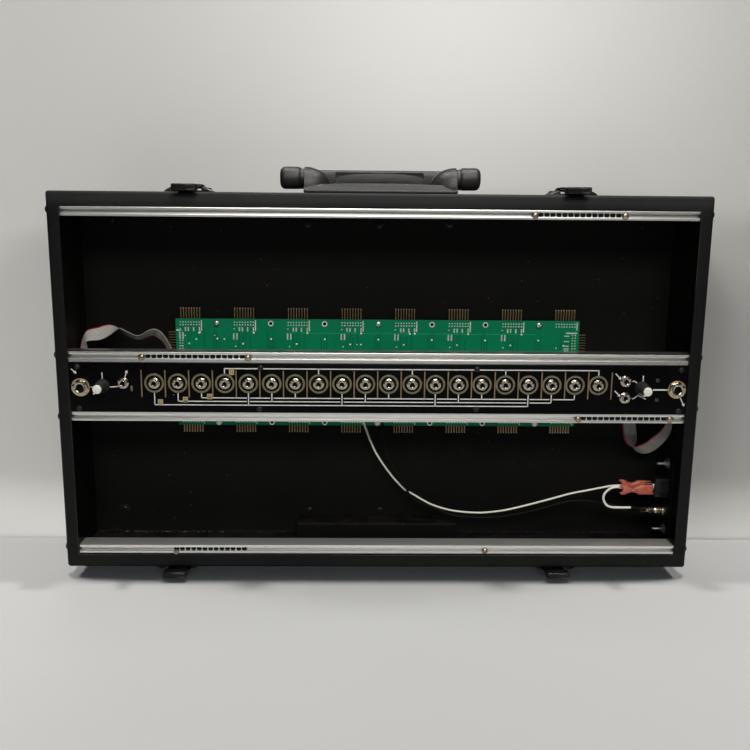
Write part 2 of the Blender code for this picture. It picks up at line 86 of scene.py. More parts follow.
# ------------------------------------------------------------------ materials
class Graph:
    """The node tree of a material or world; its methods return output sockets."""

    def __init__(self, owner):
        owner.use_nodes = True
        self.tree = owner.node_tree

    def feed(self, node, inputs):
        """Fill inputs by name or index: sockets are linked, other things are values."""
        for key, value in inputs.items():
            if isinstance(value, bpy.types.NodeSocket):
                self.tree.links.new(value, node.inputs[key])
            else:
                node.inputs[key].default_value = value

    def add(self, kind, inputs={}, output=0, **settings):
        node = self.tree.nodes.new("ShaderNode" + kind)
        for key, value in settings.items():
            setattr(node, key, value)
        self.feed(node, inputs)
        return node.outputs[output]

    def noise(self, coords, scale, detail, roughness=0.5):
        return self.add("TexNoise", {"Vector": coords, "Scale": scale, "Detail": detail,
                                     "Roughness": roughness}, "Fac")

    def remap(self, value, low, high, to_low=0.0, to_high=1.0):
        return self.add("MapRange", {"Value": value, "From Min": low, "From Max": high,
                                     "To Min": to_low, "To Max": to_high})

    def mix(self, factor, first, second, data_type='RGBA'):
        return self.add("Mix", {"Factor": factor, "A": first, "B": second}, "Result",
                        data_type=data_type)

    def maths(self, operation, first, second):
        return self.add("Math", {0: first, 1: second}, operation=operation)

    def multiply(self, first, second):
        return self.add("VectorMath", {0: first, 1: second}, operation='MULTIPLY')


def painted_light_by_height(graph, colour, coords, height):
    """Painted light: scale a colour by a gain that follows z; height is a list of (z in metres,
    gain).
    """
    span, most = 0.4, 4.0           # range of the ramp in metres, and its largest gain
    level = graph.add("SeparateXYZ", {0: coords}, "Z")
    ramp = graph.add("ValToRGB", {0: graph.remap(level, low=0.0, high=span)})
    stops = ramp.node.color_ramp.elements
    for stop, (z, gain) in zip(stops, (height[0], height[-1])):
        stop.position = z / span
        stop.color = (gain / most, gain / most, gain / most, 1)
    for z, gain in height[1:-1]:
        stops.new(z / span).color = (gain / most, gain / most, gain / most, 1)
    return graph.multiply(colour, graph.multiply(ramp, (most, most, most)))


def worn_and_highlighted_edges(graph, colour, patches, tone):
    """Blend in a paler tone along corners: rubbed paint, and a painted highlight along the
    edges.
    """
    softened = graph.add("Bevel", {"Radius": 0.0011}, samples=4)
    normal = graph.add("NewGeometry", output="Normal")
    match = graph.add("VectorMath", {0: softened, 1: normal}, "Value", operation='DOT_PRODUCT')
    edge = graph.remap(match, low=0.995, high=0.90)
    patchy_edge_mask = graph.remap(patches, low=0.5, high=0.62)
    return graph.mix(graph.maths('MULTIPLY', edge, patchy_edge_mask), colour, (*tone, 1))


def dust_cover(graph, coords, dust, flecks):
    """How much dust lies on faces that look up, with scattered flecks on any face."""
    normal = graph.add("NewGeometry", output="Normal")
    upward = graph.remap(graph.add("SeparateXYZ", {0: normal}, "Z"), low=0.55, high=0.98)
    cloud = graph.noise(coords, scale=55.0, detail=8.0, roughness=0.75)
    cover = graph.remap(cloud, low=0.42, high=0.72, to_high=dust)
    amount = graph.maths('MULTIPLY', upward, cover)
    if flecks:
        distance = graph.add("TexVoronoi", {"Vector": coords, "Scale": 190.0}, "Distance")
        near = graph.maths('LESS_THAN', distance, 0.055)
        pick = graph.add("SeparateColor", {0: distance.node.outputs["Color"]})
        rare = graph.maths('GREATER_THAN', pick, 1.0 - flecks)
        amount = graph.maths('MAXIMUM', graph.maths('MULTIPLY', near, rare), amount)
    return amount


def finish(name, tones, rough=(0.4, 0.5), metal=0.0, spot=40.0, grain=900.0, bump=0.15,
           depth=0.00008, stretch=(1, 1, 1), coat=0.0, spec=0.5, dust=0.0, flecks=0.0,
           wear_and_highlight=None, sub=0.0, speck=0.0, height=None):
    """Two blended tones with uneven roughness and fine grain.

    spot and grain are the scales of the large and fine noise, depth is the bump in metres,
    stretch scales the noise by axis and speck darkens and lightens the grain.  dust and flecks
    are amounts, wear is the tone of rubbed edges and of a painted highlight along them, and
    height is a list of (z in metres, gain) that paints light and shade by height.
    """
    material = bpy.data.materials.new(name)
    graph = Graph(material)
    coords = graph.add("TexCoord", output="Object")
    mapped = graph.add("Mapping", {"Vector": coords, "Scale": stretch})
    large = graph.noise(mapped, spot, detail=5.0, roughness=0.6)
    fine = graph.noise(mapped, grain, detail=2.0)
    first, second = tones
    blend = graph.remap(large, low=0.35, high=0.65)
    colour = graph.mix(blend, (*first, 1), (*second, 1))
    uneven = graph.maths('ADD', graph.maths('MULTIPLY', large, 0.5),
                         graph.maths('MULTIPLY', fine, 0.5))
    roughness = graph.remap(uneven, low=0.3, high=0.7, to_low=rough[0], to_high=rough[1])
    if speck:
        gain = graph.remap(fine, low=0.3, high=0.7, to_low=1.0 - speck, to_high=1.0 + speck)
        colour = graph.multiply(colour, gain)
    # painted light and shade: a gain that follows the height darkens or lightens the colour
    if height is not None:
        colour = painted_light_by_height(graph, colour, coords, height)
    # paler corners: partly rubbed paint, partly a painted edge highlight
    if wear_and_highlight is not None:
        colour = worn_and_highlighted_edges(graph, colour, large, wear_and_highlight)
    if dust or flecks:
        amount = dust_cover(graph, coords, dust, flecks)
        dust_tone, dust_roughness = (0.30, 0.27, 0.22, 1), 0.95
        colour = graph.mix(amount, colour, dust_tone)
        roughness = graph.mix(amount, roughness, dust_roughness, data_type='FLOAT')
    grain_bump = graph.add("Bump", {"Strength": bump, "Distance": depth, "Height": fine})
    shader = graph.tree.nodes["Principled BSDF"]
    graph.feed(shader, {"Base Color": colour, "Roughness": roughness, "Metallic": metal,
                        "Specular IOR Level": spec, "Coat Weight": coat,
                        "Coat Roughness": 0.15, "Normal": grain_bump})
    if sub:
        graph.feed(shader, {"Subsurface Weight": sub,
                            "Subsurface Radius": (0.002, 0.001, 0.0006)})
    material.diffuse_color = (*first, 1)
    return material


# case and rails
# the outer coat has painted light by height: darkened to about half between the rims, less along
# the bottom rim, and brightened into a painted highlight along the top rim
COAT_OUT = finish(
    "powder_coat", tones=((0.0068, 0.0068, 0.0072), (0.0100, 0.0099, 0.0098)),
    rough=(0.42, 0.58), spot=9, grain=1500, bump=0.55, depth=0.00012, dust=0.10, flecks=0.04,
    wear_and_highlight=(0.045, 0.045, 0.043), spec=0.15,
    height=((0.010, 0.95), (0.024, 0.55), (0.322, 0.45), (0.330, 0.7), (0.3340, 1.8)))
COAT_IN = finish(
    "powder_coat_inside", tones=((0.0030, 0.0029, 0.0025), (0.0046, 0.0044, 0.0037)),
    rough=(0.52, 0.70), spot=12, grain=1300, bump=0.5, depth=0.00012, dust=0.05, flecks=0.12,
    spec=0.09)
DRAWN = dict(spot=900, grain=4200, bump=0.12, depth=0.00002, stretch=(0.0006, 1, 1))
ALU = finish("rail_aluminium", tones=((0.82, 0.81, 0.775), (0.62, 0.61, 0.575)),
             rough=(0.25, 0.42), metal=1.0, speck=0.10, **DRAWN)
# a paler, less metallic copy of the rail aluminium for the bottom rail: painted light
ALU_LIT_COPY = finish("rail_aluminium_painted_light", tones=((0.86, 0.85, 0.82), (0.68, 0.67, 0.64)),
                  rough=(0.30, 0.46), metal=0.76, speck=0.14, **DRAWN)
# metals
ZINC = finish("strip_zinc", tones=((0.72, 0.73, 0.74), (0.60, 0.61, 0.62)),
              rough=(0.30, 0.46), metal=1.0, spot=300, grain=1400, bump=0.2)
NICKEL = finish("nickel", tones=((0.56, 0.505, 0.42), (0.42, 0.375, 0.31)),
                rough=(0.09, 0.22), metal=1.0, spot=260, grain=2600, bump=0.14, depth=0.00003)
STEEL = finish("zinc_steel", tones=((0.66, 0.67, 0.68), (0.52, 0.53, 0.54)),
               rough=(0.22, 0.42), metal=1.0, spot=260, grain=2000, bump=0.2)
BRASS = finish("brass", tones=((0.74, 0.56, 0.30), (0.60, 0.43, 0.22)),
               rough=(0.16, 0.32), metal=1.0, spot=240, grain=2200, depth=0.00004)
SCREW_BRASS = finish("brassy_screw", tones=((0.50, 0.41, 0.30), (0.30, 0.24, 0.17)),
                     rough=(0.2, 0.38), metal=1.0, spot=420, grain=2200, bump=0.35)
BLACK_SCREW = finish("blackened_screw", tones=((0.030, 0.029, 0.028), (0.018, 0.0175, 0.017)),
                     rough=(0.22, 0.40), metal=0.5, spot=200, grain=1600, bump=0.25, spec=0.4)
# patch panel
PANEL_MASK = finish("panel_mask", tones=((0.0008, 0.0008, 0.0009), (0.0016, 0.0016, 0.0017)),
                    rough=(0.34, 0.48), spot=30, grain=1100, bump=0.12, depth=0.00005,
                    spec=0.055, flecks=0.05)
OLIVE = finish("masked_copper", tones=((0.175, 0.152, 0.086), (0.115, 0.102, 0.058)),
               rough=(0.38, 0.55), metal=0.35, spot=420, grain=1900, bump=0.25)
PIPE = finish("light_pipe", tones=((0.030, 0.032, 0.016), (0.018, 0.020, 0.011)),
              rough=(0.3, 0.4), spot=420, grain=1900, bump=0.2)
COPPER = finish("copper_divider", tones=((0.26, 0.175, 0.098), (0.19, 0.125, 0.070)),
                rough=(0.4, 0.55), metal=0.45, spot=300, grain=1900, bump=0.2)
GOLD = finish("gold_patch", tones=((0.50, 0.39, 0.20), (0.38, 0.29, 0.14)),
              rough=(0.35, 0.5), metal=0.5, spot=500, grain=1900, bump=0.2)
PRINT = finish("white_print", tones=((0.66, 0.66, 0.63), (0.50, 0.50, 0.48)),
               rough=(0.6, 0.75), spot=300, grain=2600, bump=0.3, speck=0.14)
# circuit boards
MASK = dict(rough=(0.26, 0.38), grain=1000)
GREEN = finish("board_green", tones=((0.0036, 0.182, 0.080), (0.0028, 0.156, 0.068)),
               spot=24, bump=0.10, depth=0.00004, spec=0.07, dust=0.2, **MASK)
TRACE = finish("board_trace", tones=((0.003, 0.108, 0.052), (0.002, 0.092, 0.044)),
               spot=60, bump=0.1, spec=0.08, **MASK)
TRACE_LIGHT = finish("board_trace_light", tones=((0.016, 0.290, 0.145), (0.012, 0.255, 0.128)),
                     spot=60, bump=0.1, spec=0.1, **MASK)
SOLDER = finish("solder", tones=((0.86, 0.85, 0.81), (0.72, 0.71, 0.68)),
                rough=(0.30, 0.46), metal=0.55, spot=600, grain=3000, bump=0.2, depth=0.00004)
PIN_GOLD = finish("pin_gold", tones=((0.40, 0.275, 0.145), (0.28, 0.19, 0.10)),
                  rough=(0.26, 0.4), metal=0.9, spot=300, grain=2000, bump=0.1)
# a paler copy of the pin gold for the tips: painted highlight
PIN_TIP_HIGHLIGHT = finish("pin_tip_painted_highlight", tones=((0.74, 0.60, 0.40), (0.62, 0.49, 0.31)),
                 rough=(0.22, 0.34), metal=0.6, spot=300, grain=2000, bump=0.1)
# plastics, rubber and fittings
PLASTIC = finish("black_plastic", tones=((0.0055, 0.0055, 0.0058), (0.0085, 0.0085, 0.0085)),
                 rough=(0.35, 0.5), spot=50, grain=1600, bump=0.25, spec=0.3)
KNOB = finish("knob_black", tones=((0.012, 0.012, 0.0115), (0.019, 0.019, 0.018)),
              rough=(0.42, 0.6), spot=120, grain=1800, bump=0.3, spec=0.3)
CAP_WHITE = finish("knob_white", tones=((0.70, 0.69, 0.64), (0.58, 0.57, 0.52)),
                   rough=(0.45, 0.6), spot=420, grain=1700, bump=0.6, depth=0.00010, speck=0.08)
RUBBER = finish("handle_rubber", tones=((0.0100, 0.0100, 0.0094), (0.0170, 0.0166, 0.0152)),
                rough=(0.32, 0.54), spot=90, bump=1.0, depth=0.00030, dust=0.05, spec=0.42)
SOCKET_BRASS = finish("pale_brass", tones=((0.60, 0.55, 0.43), (0.46, 0.42, 0.32)),
                      rough=(0.14, 0.28), metal=1.0, spot=240, grain=2200, depth=0.00004)
# near black for the inside of bores and countersinks: painted shade in the holes
HOLE_SHADE = finish("painted_bore_shade", tones=((0.016, 0.014, 0.012), (0.008, 0.008, 0.007)),
                   rough=(0.45, 0.6), metal=0.2, spot=300, grain=2200, bump=0.2, spec=0.2)
FOOT_RUBBER = finish("foot_rubber", tones=((0.012, 0.012, 0.012), (0.019, 0.019, 0.018)),
                     rough=(0.7, 0.85), spot=30, grain=1300, bump=0.5)
# the paler edge tone here is partly rubbed paint and partly a painted highlight along the latch
# edges
LATCH = finish("latch_black", tones=((0.0050, 0.0050, 0.0050), (0.0085, 0.0085, 0.0080)),
               rough=(0.22, 0.36), spot=60, grain=1500, bump=0.2, wear_and_highlight=(0.16, 0.155, 0.14),
               spec=0.20)
# cables and small things
CORD = dict(spot=90, grain=1200)
RIBBON = finish("ribbon_grey", tones=((0.62, 0.60, 0.55), (0.54, 0.52, 0.475)),
                rough=(0.4, 0.52), **CORD)
# a darker tone on the grooves between conductors: painted shade
RIBBON_GROOVE_SHADE = finish("ribbon_groove_painted_shade", tones=((0.25, 0.24, 0.22), (0.20, 0.19, 0.175)),
                    rough=(0.5, 0.62), **CORD)
# darker copies of the ribbon finishes for the right cable: painted shade
RIBBON_SHADED = finish("ribbon_grey_painted_shade", tones=((0.30, 0.285, 0.27), (0.23, 0.22, 0.205)),
                     rough=(0.4, 0.52), **CORD)
RIBBON_SHADED_GROOVE = finish("ribbon_groove_darker_painted_shade", tones=((0.12, 0.115, 0.108), (0.09, 0.086, 0.08)),
                         rough=(0.5, 0.62), **CORD)
RIBBON_RED = finish("ribbon_red", tones=((0.36, 0.018, 0.035), (0.28, 0.014, 0.028)),
                    rough=(0.4, 0.52), **CORD)
WIRE_WHITE = finish("wire_white", tones=((0.86, 0.83, 0.74), (0.78, 0.75, 0.66)),
                    rough=(0.35, 0.5), spot=60, grain=1100, sub=0.05)
WIRE_BLACK = finish("wire_black", tones=((0.0035, 0.0035, 0.0035), (0.006, 0.006, 0.006)),
                    rough=(0.45, 0.6), spot=60, grain=1100, spec=0.12)
SPADE_RED = finish("spade_vinyl", tones=((0.60, 0.165, 0.095), (0.36, 0.060, 0.036)),
                   rough=(0.30, 0.45), spot=190, grain=1300, bump=0.25, sub=0.12, coat=0.1)
GRIT = finish("dust_grit", tones=((0.42, 0.37, 0.29), (0.20, 0.175, 0.14)),
              rough=(0.7, 0.9), spot=900, grain=2600, bump=0.3)
MARK = finish("rocker_mark", tones=((0.55, 0.55, 0.53), (0.45, 0.45, 0.43)),
              rough=(0.5, 0.6), spot=200, grain=1500, bump=0.1)


# ------------------------------------------------------------ outlines, paths
def rounded(points, radii, steps=3):
    """Round the corners of a closed outline, each by its own radius."""
    out = []
    for i, radius in enumerate(radii):
        corner = Vector(points[i])
        back = Vector(points[i - 1]) - corner
        on = Vector(points[(i + 1) % len(points)]) - corner
        radius = min(radius, back.length * 0.45, on.length * 0.45)
        start, end = corner + back.normalized() * radius, corner + on.normalized() * radius
        for k in range(steps + 1):
            t = k / steps
            out.append(tuple(start * (1 - t) ** 2 + corner * (2 * t * (1 - t)) + end * t * t))
    return out


def spline(points, per):
    """A smooth curve through points of any dimension, with per steps between neighbours."""
    knots = [Vector(p) for p in points]
    knots = [knots[0] * 2 - knots[1]] + knots + [knots[-1] * 2 - knots[-2]]
    out = []
    for p0, p1, p2, p3 in zip(knots, knots[1:], knots[2:], knots[3:]):
        for k in range(per):
            t = k / per
            out.append(0.5 * ((2 * p1) + (p2 - p0) * t + (2 * p0 - 5 * p1 + 4 * p2 - p3) * t * t
                              + (3 * p1 - p0 - 3 * p2 + p3) * t ** 3))
    out.append(knots[-2].copy())
    return out


def thread(start, stop, pitch, crest, root):
    """Profile points of a screw thread from start until stop; pitch carries the direction."""
    out = []
    height = start
    while (stop - height) * pitch > 0:
        out += [(crest, height), (root, height + pitch / 2)]
        height += pitch
    return out


# --------------------------------------------------------------------- solids
# for each facing: two directions across it, then the facing itself
AXES = {"+X": ((0, 1, 0), (0, 0, 1), (1, 0, 0)), "-X": ((0, -1, 0), (0, 0, 1), (-1, 0, 0)),
        "+Y": ((-1, 0, 0), (0, 0, 1), (0, 1, 0)), "-Y": ((1, 0, 0), (0, 0, 1), (0, -1, 0)),
        "+Z": ((1, 0, 0), (0, 1, 0), (0, 0, 1)), "-Z": ((-1, 0, 0), (0, 1, 0), (0, 0, -1))}


def axes(facing):
    return [Vector(v) for v in AXES[facing]]


def mend_normals(solid):
    bmesh.ops.recalc_face_normals(solid, faces=solid.faces)


def to_mesh(solid):
    mesh = bpy.data.meshes.new("piece")
    solid.to_mesh(mesh)
    solid.free()
    return mesh


def absorb(solid, other):
    """Move the geometry of another solid into this one."""
    mesh = to_mesh(other)
    solid.from_mesh(mesh)
    bpy.data.meshes.remove(mesh)


def round_edges(solid, edges, radius, segments):
    bmesh.ops.bevel(solid, geom=edges, offset=radius * MM, segments=segments, profile=0.5,
                    affect='EDGES', clamp_overlap=True)


def box_solid(x, y, z, bevel=0.0, segments=2, along=None):
    """A box between two values on each axis; along keeps the bevel to edges on one axis."""
    solid = bmesh.new()
    low, high = place(min(x), min(y), min(z)), place(max(x), max(y), max(z))
    bmesh.ops.create_cube(solid, size=1.0, matrix=Matrix.Translation((low + high) / 2)
                          @ Matrix.Diagonal((*(high - low), 1.0)))
    if bevel:
        edges = [e for e in solid.edges
                 if along is None or abs((e.verts[0].co - e.verts[1].co)[along]) > 1e-4]
        round_edges(solid, edges, bevel, segments)
    return solid


def lathe_solid(profile, centre, facing, segments=32, wave=None):
    """A turned shape: profile is (radius, height), wave(angle, profile index) scales radii."""
    solid = bmesh.new()
    across, over, along = axes(facing)
    middle = place(*centre)
    rings = []
    for k, (radius, height) in enumerate(profile):
        if radius <= 1e-6:
            rings.append([solid.verts.new(middle + along * (height * MM))])
            continue
        ring = []
        for i in range(segments):
            angle = 2 * math.pi * i / segments
            reach = radius * (wave(angle, k) if wave else 1.0)
            spoke = across * math.cos(angle) + over * math.sin(angle)
            ring.append(solid.verts.new(middle + spoke * (reach * MM) + along * (height * MM)))
        rings.append(ring)
    for near, far in zip(rings, rings[1:]):
        for i in range(segments):
            j = (i + 1) % segments
            if len(near) == 1:
                solid.faces.new((near[0], far[i], far[j]))
            elif len(far) == 1:
                solid.faces.new((near[i], far[0], near[j]))
            else:
                solid.faces.new((near[i], far[i], far[j], near[j]))
    mend_normals(solid)
    return solid


def rod_solid(radius, start, end, centre, facing, segments):
    """A plain cylinder between two heights along its facing."""
    profile = [(0, start), (radius, start), (radius, end), (0, end)]
    return lathe_solid(profile, centre, facing, segments)


def prism_solid(outline, axis, start, end, bevel=0.0, segments=2):
    """A closed outline swept along an axis: (y, z) points for X, (x, z) for Y, (x, y) for Z."""
    solid = bmesh.new()
    k = "XYZ".index(axis)
    near, far = [[solid.verts.new(place(*p[:k], level, *p[k:])) for p in outline]
                 for level in (start, end)]
    solid.faces.new(near)
    solid.faces.new(list(reversed(far)))
    for i in range(len(near)):
        j = (i + 1) % len(near)
        solid.faces.new((near[j], near[i], far[i], far[j]))
    mend_normals(solid)
    if bevel:
        round_edges(solid, list(solid.edges), bevel, segments)
    return solid


def skin(solid, rings, slots=None):
    """Join rings into a capped tube; slots gives the material index of each strip."""
    count = len(rings[0])
    for near, far in zip(rings, rings[1:]):
        for i in range(count):
            j = (i + 1) % count
            face = solid.faces.new((near[i], near[j], far[j], far[i]))
            if slots:
                face.material_index = slots[i]
    solid.faces.new(list(reversed(rings[0])))
    solid.faces.new(rings[-1])
    mend_normals(solid)


def tube_solid(path, radius, sides):
    """A round tube along a path of case coordinates."""
    solid = bmesh.new()
    section = [(radius * math.cos(2 * math.pi * i / sides),
                radius * math.sin(2 * math.pi * i / sides)) for i in range(sides)]
    points = [place(*p) for p in path]
    rings = []
    across = None
    for i, middle in enumerate(points):
        run = (points[min(i + 1, len(points) - 1)] - points[max(i - 1, 0)]).normalized()
        if across is None:
            across = run.cross(Vector((0, 0, 1))).normalized()
        else:
            across = (across - run * across.dot(run)).normalized()
        over = run.cross(across).normalized()
        rings.append([solid.verts.new(middle + across * (a * MM) + over * (b * MM))
                      for a, b in section])
    skin(solid, rings)
    return solid


def bores_solid(spots, y, depth, segments=28):
    """Cutters along y at (x, z, radius), or (x, z, first radius, last radius) for cones."""
    solid = bmesh.new()
    for x, z, *radii in spots:
        bmesh.ops.create_cone(
            solid, cap_ends=True, segments=segments, radius1=radii[0] * MM,
            radius2=radii[-1] * MM, depth=depth * MM,
            matrix=Matrix.Translation(place(x, y, z)) @ Matrix.Rotation(math.pi / 2, 4, 'X'))
    return solid


def carved(target, *cutters, union=()):
    """Add the union solids to target, then subtract the cutters; all are used up."""
    holders = []

    def hold(solid):
        holder = bpy.data.objects.new("temp", to_mesh(solid))
        bpy.context.scene.collection.objects.link(holder)
        holders.append(holder)
        return holder
    base = hold(target)
    for operation, group in (('UNION', union), ('DIFFERENCE', cutters)):
        for solid in group:
            other = hold(solid)
            modifier = base.modifiers.new("b", 'BOOLEAN')
            modifier.operation = operation
            modifier.object = other
            modifier.solver = 'EXACT'
    depsgraph = bpy.context.evaluated_depsgraph_get()
    mesh = bpy.data.meshes.new_from_object(base.evaluated_get(depsgraph))
    for holder in holders:
        data = holder.data
        bpy.data.objects.remove(holder, do_unlink=True)
        bpy.data.meshes.remove(data)
    result = bmesh.new()
    result.from_mesh(mesh)
    bpy.data.meshes.remove(mesh)
    return result


class Part:
    """An object built from several solids, each with its own finish."""

    def __init__(self, name, body="case", replaces=None, slot=None, sharp=32.0):
        self.name, self.body, self.replaces = name, body, replaces
        self.slot, self.sharp = slot, sharp
        self.solid = bmesh.new()
        self.materials = []

    def index(self, material):
        if material not in self.materials:
            self.materials.append(material)
        return self.materials.index(material)

    def add(self, solid, *materials):
        """Take in a solid; with several materials its face indices choose between them."""
        slots = [self.index(material) for material in materials]
        for face in solid.faces:
            face.material_index = slots[face.material_index] if len(slots) > 1 else slots[0]
        absorb(self.solid, solid)

    def box(self, x, y, z, material, bevel=0.0, segments=2):
        self.add(box_solid(x, y, z, bevel, segments), material)

    def lathe(self, profile, centre, facing, material, segments=32, wave=None):
        self.add(lathe_solid(profile, centre, facing, segments, wave), material)

    def rod(self, radius, start, end, centre, facing, material, segments):
        self.add(rod_solid(radius, start, end, centre, facing, segments), material)

    def ring(self, profile, centre, facing, material, segments, wave=None):
        """A turned shape with an open middle; the profile closes on its first point."""
        solid = lathe_solid(profile + profile[:1], centre, facing, segments, wave)
        bmesh.ops.remove_doubles(solid, verts=solid.verts, dist=1e-7)
        mend_normals(solid)
        self.add(solid, material)

    def prism(self, outline, axis, start, end, material, bevel=0.0, segments=2):
        self.add(prism_solid(outline, axis, start, end, bevel, segments), material)

    def tube(self, path, radius, material, sides):
        self.add(tube_solid(path, radius, sides), material)

    def pan_screw(self, centre, facing, radius, height, material, turn):
        """A domed screw head with a cross recess, seated on a surface at centre."""
        profile = [(0, -0.6), (radius * 0.55, -0.6), (radius * 0.55, 0.0), (radius, 0.02),
                   (radius, height * 0.30), (radius * 0.93, height * 0.62),
                   (radius * 0.76, height * 0.86), (radius * 0.45, height * 0.98), (0, height)]
        across, over, out = axes(facing)
        top = place(*centre) + out * (height * MM)
        cuts = []
        for angle in (turn, turn + math.pi / 2):
            along = across * math.cos(angle) + over * math.sin(angle)
            beside = out.cross(along)
            rows = [[along[i] * radius * 1.1 * MM, beside[i] * radius * 0.24 * MM,
                     out[i] * height * MM, top[i]] for i in range(3)]
            cut = bmesh.new()
            bmesh.ops.create_cube(cut, size=1.0, matrix=Matrix(rows + [(0, 0, 0, 1)]))
            cuts.append(cut)
        self.add(carved(lathe_solid(profile, centre, facing, 24), *cuts), material)

    def hex_nut(self, centre, facing, flats, height, bore, material, turn=0.0, segments=36):
        """A hexagon nut with chamfered corners; flats is the width across flats."""
        corner = flats / 2 / math.cos(math.pi / 6)

        def hexagon(angle, k):
            if k not in (2, 3):
                return 1.0
            swing = (angle + turn) % (math.pi / 3) - math.pi / 6
            return (flats / 2 / math.cos(swing)) / corner
        chamfer = flats / 2 * 0.97
        profile = [(bore, 0.0), (chamfer, 0.0), (corner, height * 0.14),
                   (corner, height * 0.86), (chamfer, height), (bore, height)]
        self.ring(profile, centre, facing, material, segments, hexagon)

    def done(self, origin=None):
        mesh = bpy.data.meshes.new(self.name)
        if origin is not None:
            bmesh.ops.translate(self.solid, verts=self.solid.verts, vec=-origin)
        self.solid.to_mesh(mesh)
        self.solid.free()
        for material in self.materials:
            mesh.materials.append(material)
        mesh.shade_smooth()
        mesh.set_sharp_from_angle(angle=math.radians(self.sharp))
        piece = bpy.data.objects.new(self.name, mesh)
        if origin is not None:
            piece.location = origin
        bpy.context.scene.collection.objects.link(piece)
        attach(piece, self.body)
        if self.replaces:
            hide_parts(self.replaces)


def off_axis(face, x, z):
    """The distance of a face's centre from a line along y, and its y, in millimetres."""
    centre = face.calc_center_median()
    return math.hypot(centre.x / MM - x, centre.z / MM - MID_Z - z), centre.y / MM - RIM_Y


# ----------------------------------------------------------------- case shell
shell_solid = carved(
    box_solid(about(0, CASE_W / 2), (0, CASE_D), about(0, CASE_H / 2), 2.6, 5),
    box_solid(about(0, IN_X), (SHEET, BACK_Y), about(0, IN_Z), 1.3, 3),
    # the front opening, then a window in the right wall
    box_solid(about(0, OPEN_X), (-5, SHEET + 3), about(0, OPEN_Z), 1.2, 3, along=1),
    box_solid((IN_X - 3, IN_X + 6), (40, 60), (-138, -90), 1.5, 3, along=0))
for face in shell_solid.faces:
    centre = face.calc_center_median()
    inner = (abs(centre.x) < (IN_X + 0.05) * MM
             and abs(centre.z - MID_Z * MM) < (IN_Z + 0.05) * MM
             and (RIM_Y + SHEET - 0.05) * MM < centre.y < (RIM_Y + BACK_Y + 0.05) * MM)
    face.material_index = 1 if inner else 0
shell = Part("case_shell_sheet", replaces="case_shell", slot="powder_coat", sharp=28)
shell.add(shell_solid, COAT_OUT, COAT_IN)
shell.done()

# button heads with hexagon sockets, through the side walls into the rail ends
RAIL_SCREW_Z = {-1: (150.2, 26.5, -28.0, -148.5), 1: (150.2, 27.3, -18.5, -149.5)}
BUTTON_R, BUTTON_H = 3.6, 2.7
BUTTON = [(0, BUTTON_H * 0.35), (BUTTON_R * 0.42, BUTTON_H * 0.35), (BUTTON_R * 0.42, BUTTON_H),
          (BUTTON_R * 0.62, BUTTON_H * 0.95), (BUTTON_R * 0.86, BUTTON_H * 0.68),
          (BUTTON_R * 0.98, BUTTON_H * 0.3), (BUTTON_R, 0.0), (BUTTON_R * 0.6, -0.8), (0, -0.8)]


def socket_wave(angle, k):
    if k in (1, 2):
        return 0.9 / math.cos(angle % (math.pi / 3) - math.pi / 6)
    return 1.0


screws = Part("rail_end_screws", slot="latch_black")
for side, outward, inward in SIDES:
    for z in RAIL_SCREW_Z[side]:
        seat = (side * CASE_W / 2, 8.2, z)
        screws.rod(4.4, 0.4, -0.5, seat, outward, LATCH, 28)
        screws.lathe(BUTTON, seat, outward, BLACK_SCREW, 30, socket_wave)
screws.done()

# back panel screws: x, z, head radius; heads inside, nuts and thread ends outside
BACK_BOLTS = [(-66.0, -141.0, 3.3), (3.9, -141.0, 3.3), (65.0, -140.0, 3.3),
              (-66.6, 139.0, 3.3), (0.8, 139.0, 3.3), (66.4, 140.0, 3.3),
              (-250.0, -140.5, 3.4), (250.0, -140.5, 3.4)]
screws = Part("back_panel_screws", slot="latch_black")
for x, z, radius in BACK_BOLTS:
    screws.pan_screw((x, BACK_Y, z), "-Y", radius, 2.0, BLACK_SCREW, turn=0.4 + x * 0.013)
    screws.hex_nut((x, CASE_D, z), "+Y", 5.5, 1.9, 1.3, BLACK_SCREW, turn=x * 0.02)
    screws.lathe([(0, -0.8), (1.45, -0.8), (1.45, 2.3), (1.2, 2.6), (0, 2.6)],
                 (x, CASE_D, z), "+Y", BLACK_SCREW, 18)
for x, z in ((-249.7, 141.4), (249.4, 139.2)):
    screws.pan_screw((x, BACK_Y, z), "-Y", 2.2, 1.3, BLACK_SCREW, turn=0.9)
# a washer under the head at the lower left
screws.lathe([(0, 0.0), (5.4, 0.0), (5.4, 0.55), (3.2, 0.75), (0, 0.75)],
             (-250.0, BACK_Y, -140.5), "-Y", BLACK_SCREW, 28)
for x, z in BOARD_SCREWS:
    screws.pan_screw((x, CASE_D, z), "+Y", 2.9, 1.7, BLACK_SCREW, turn=x * 0.01)
screws.done()

# grit caught along the seam of floor and back, thickest on the left
specks = Part("floor_dust_specks", sharp=60)
draw = random.Random(41)
for i in range(130):
    x = draw.uniform(-252, -150) if i < 60 else draw.uniform(-252, 252)
    if abs(x) < 68:
        continue
    size = draw.uniform(0.10, 0.34)
    y = BACK_Y - 0.3 - abs(draw.gauss(0, 1.1))
    z = -IN_Z + size * 0.6 - 0.05
    specks.prism([(x - size, y - size * 0.5), (x + size * 0.7, y - size * 0.8),
                  (x + size * 1.3, y + size * 0.3), (x - size * 0.2, y + size)],
                 "Z", z - size * 0.55, z + size * 0.5, GRIT)
specks.done()

# ---------------------------------------------------------------------- rails
END_X = OPEN_X - 0.3                # where the full section stops
RAIL_X = IN_X - 0.3                 # where the rail stops
SLOT_Y = RAIL_Y0 + 1.8              # behind the lips of a screw slot
SLOT_BACK = RAIL_Y0 + 4.5
WEB_BACK = SLOT_BACK + 2.0
MOUTH, CAVITY, FLANGE = 1.65, 2.95, 1.6     # half slot heights and the flange thickness


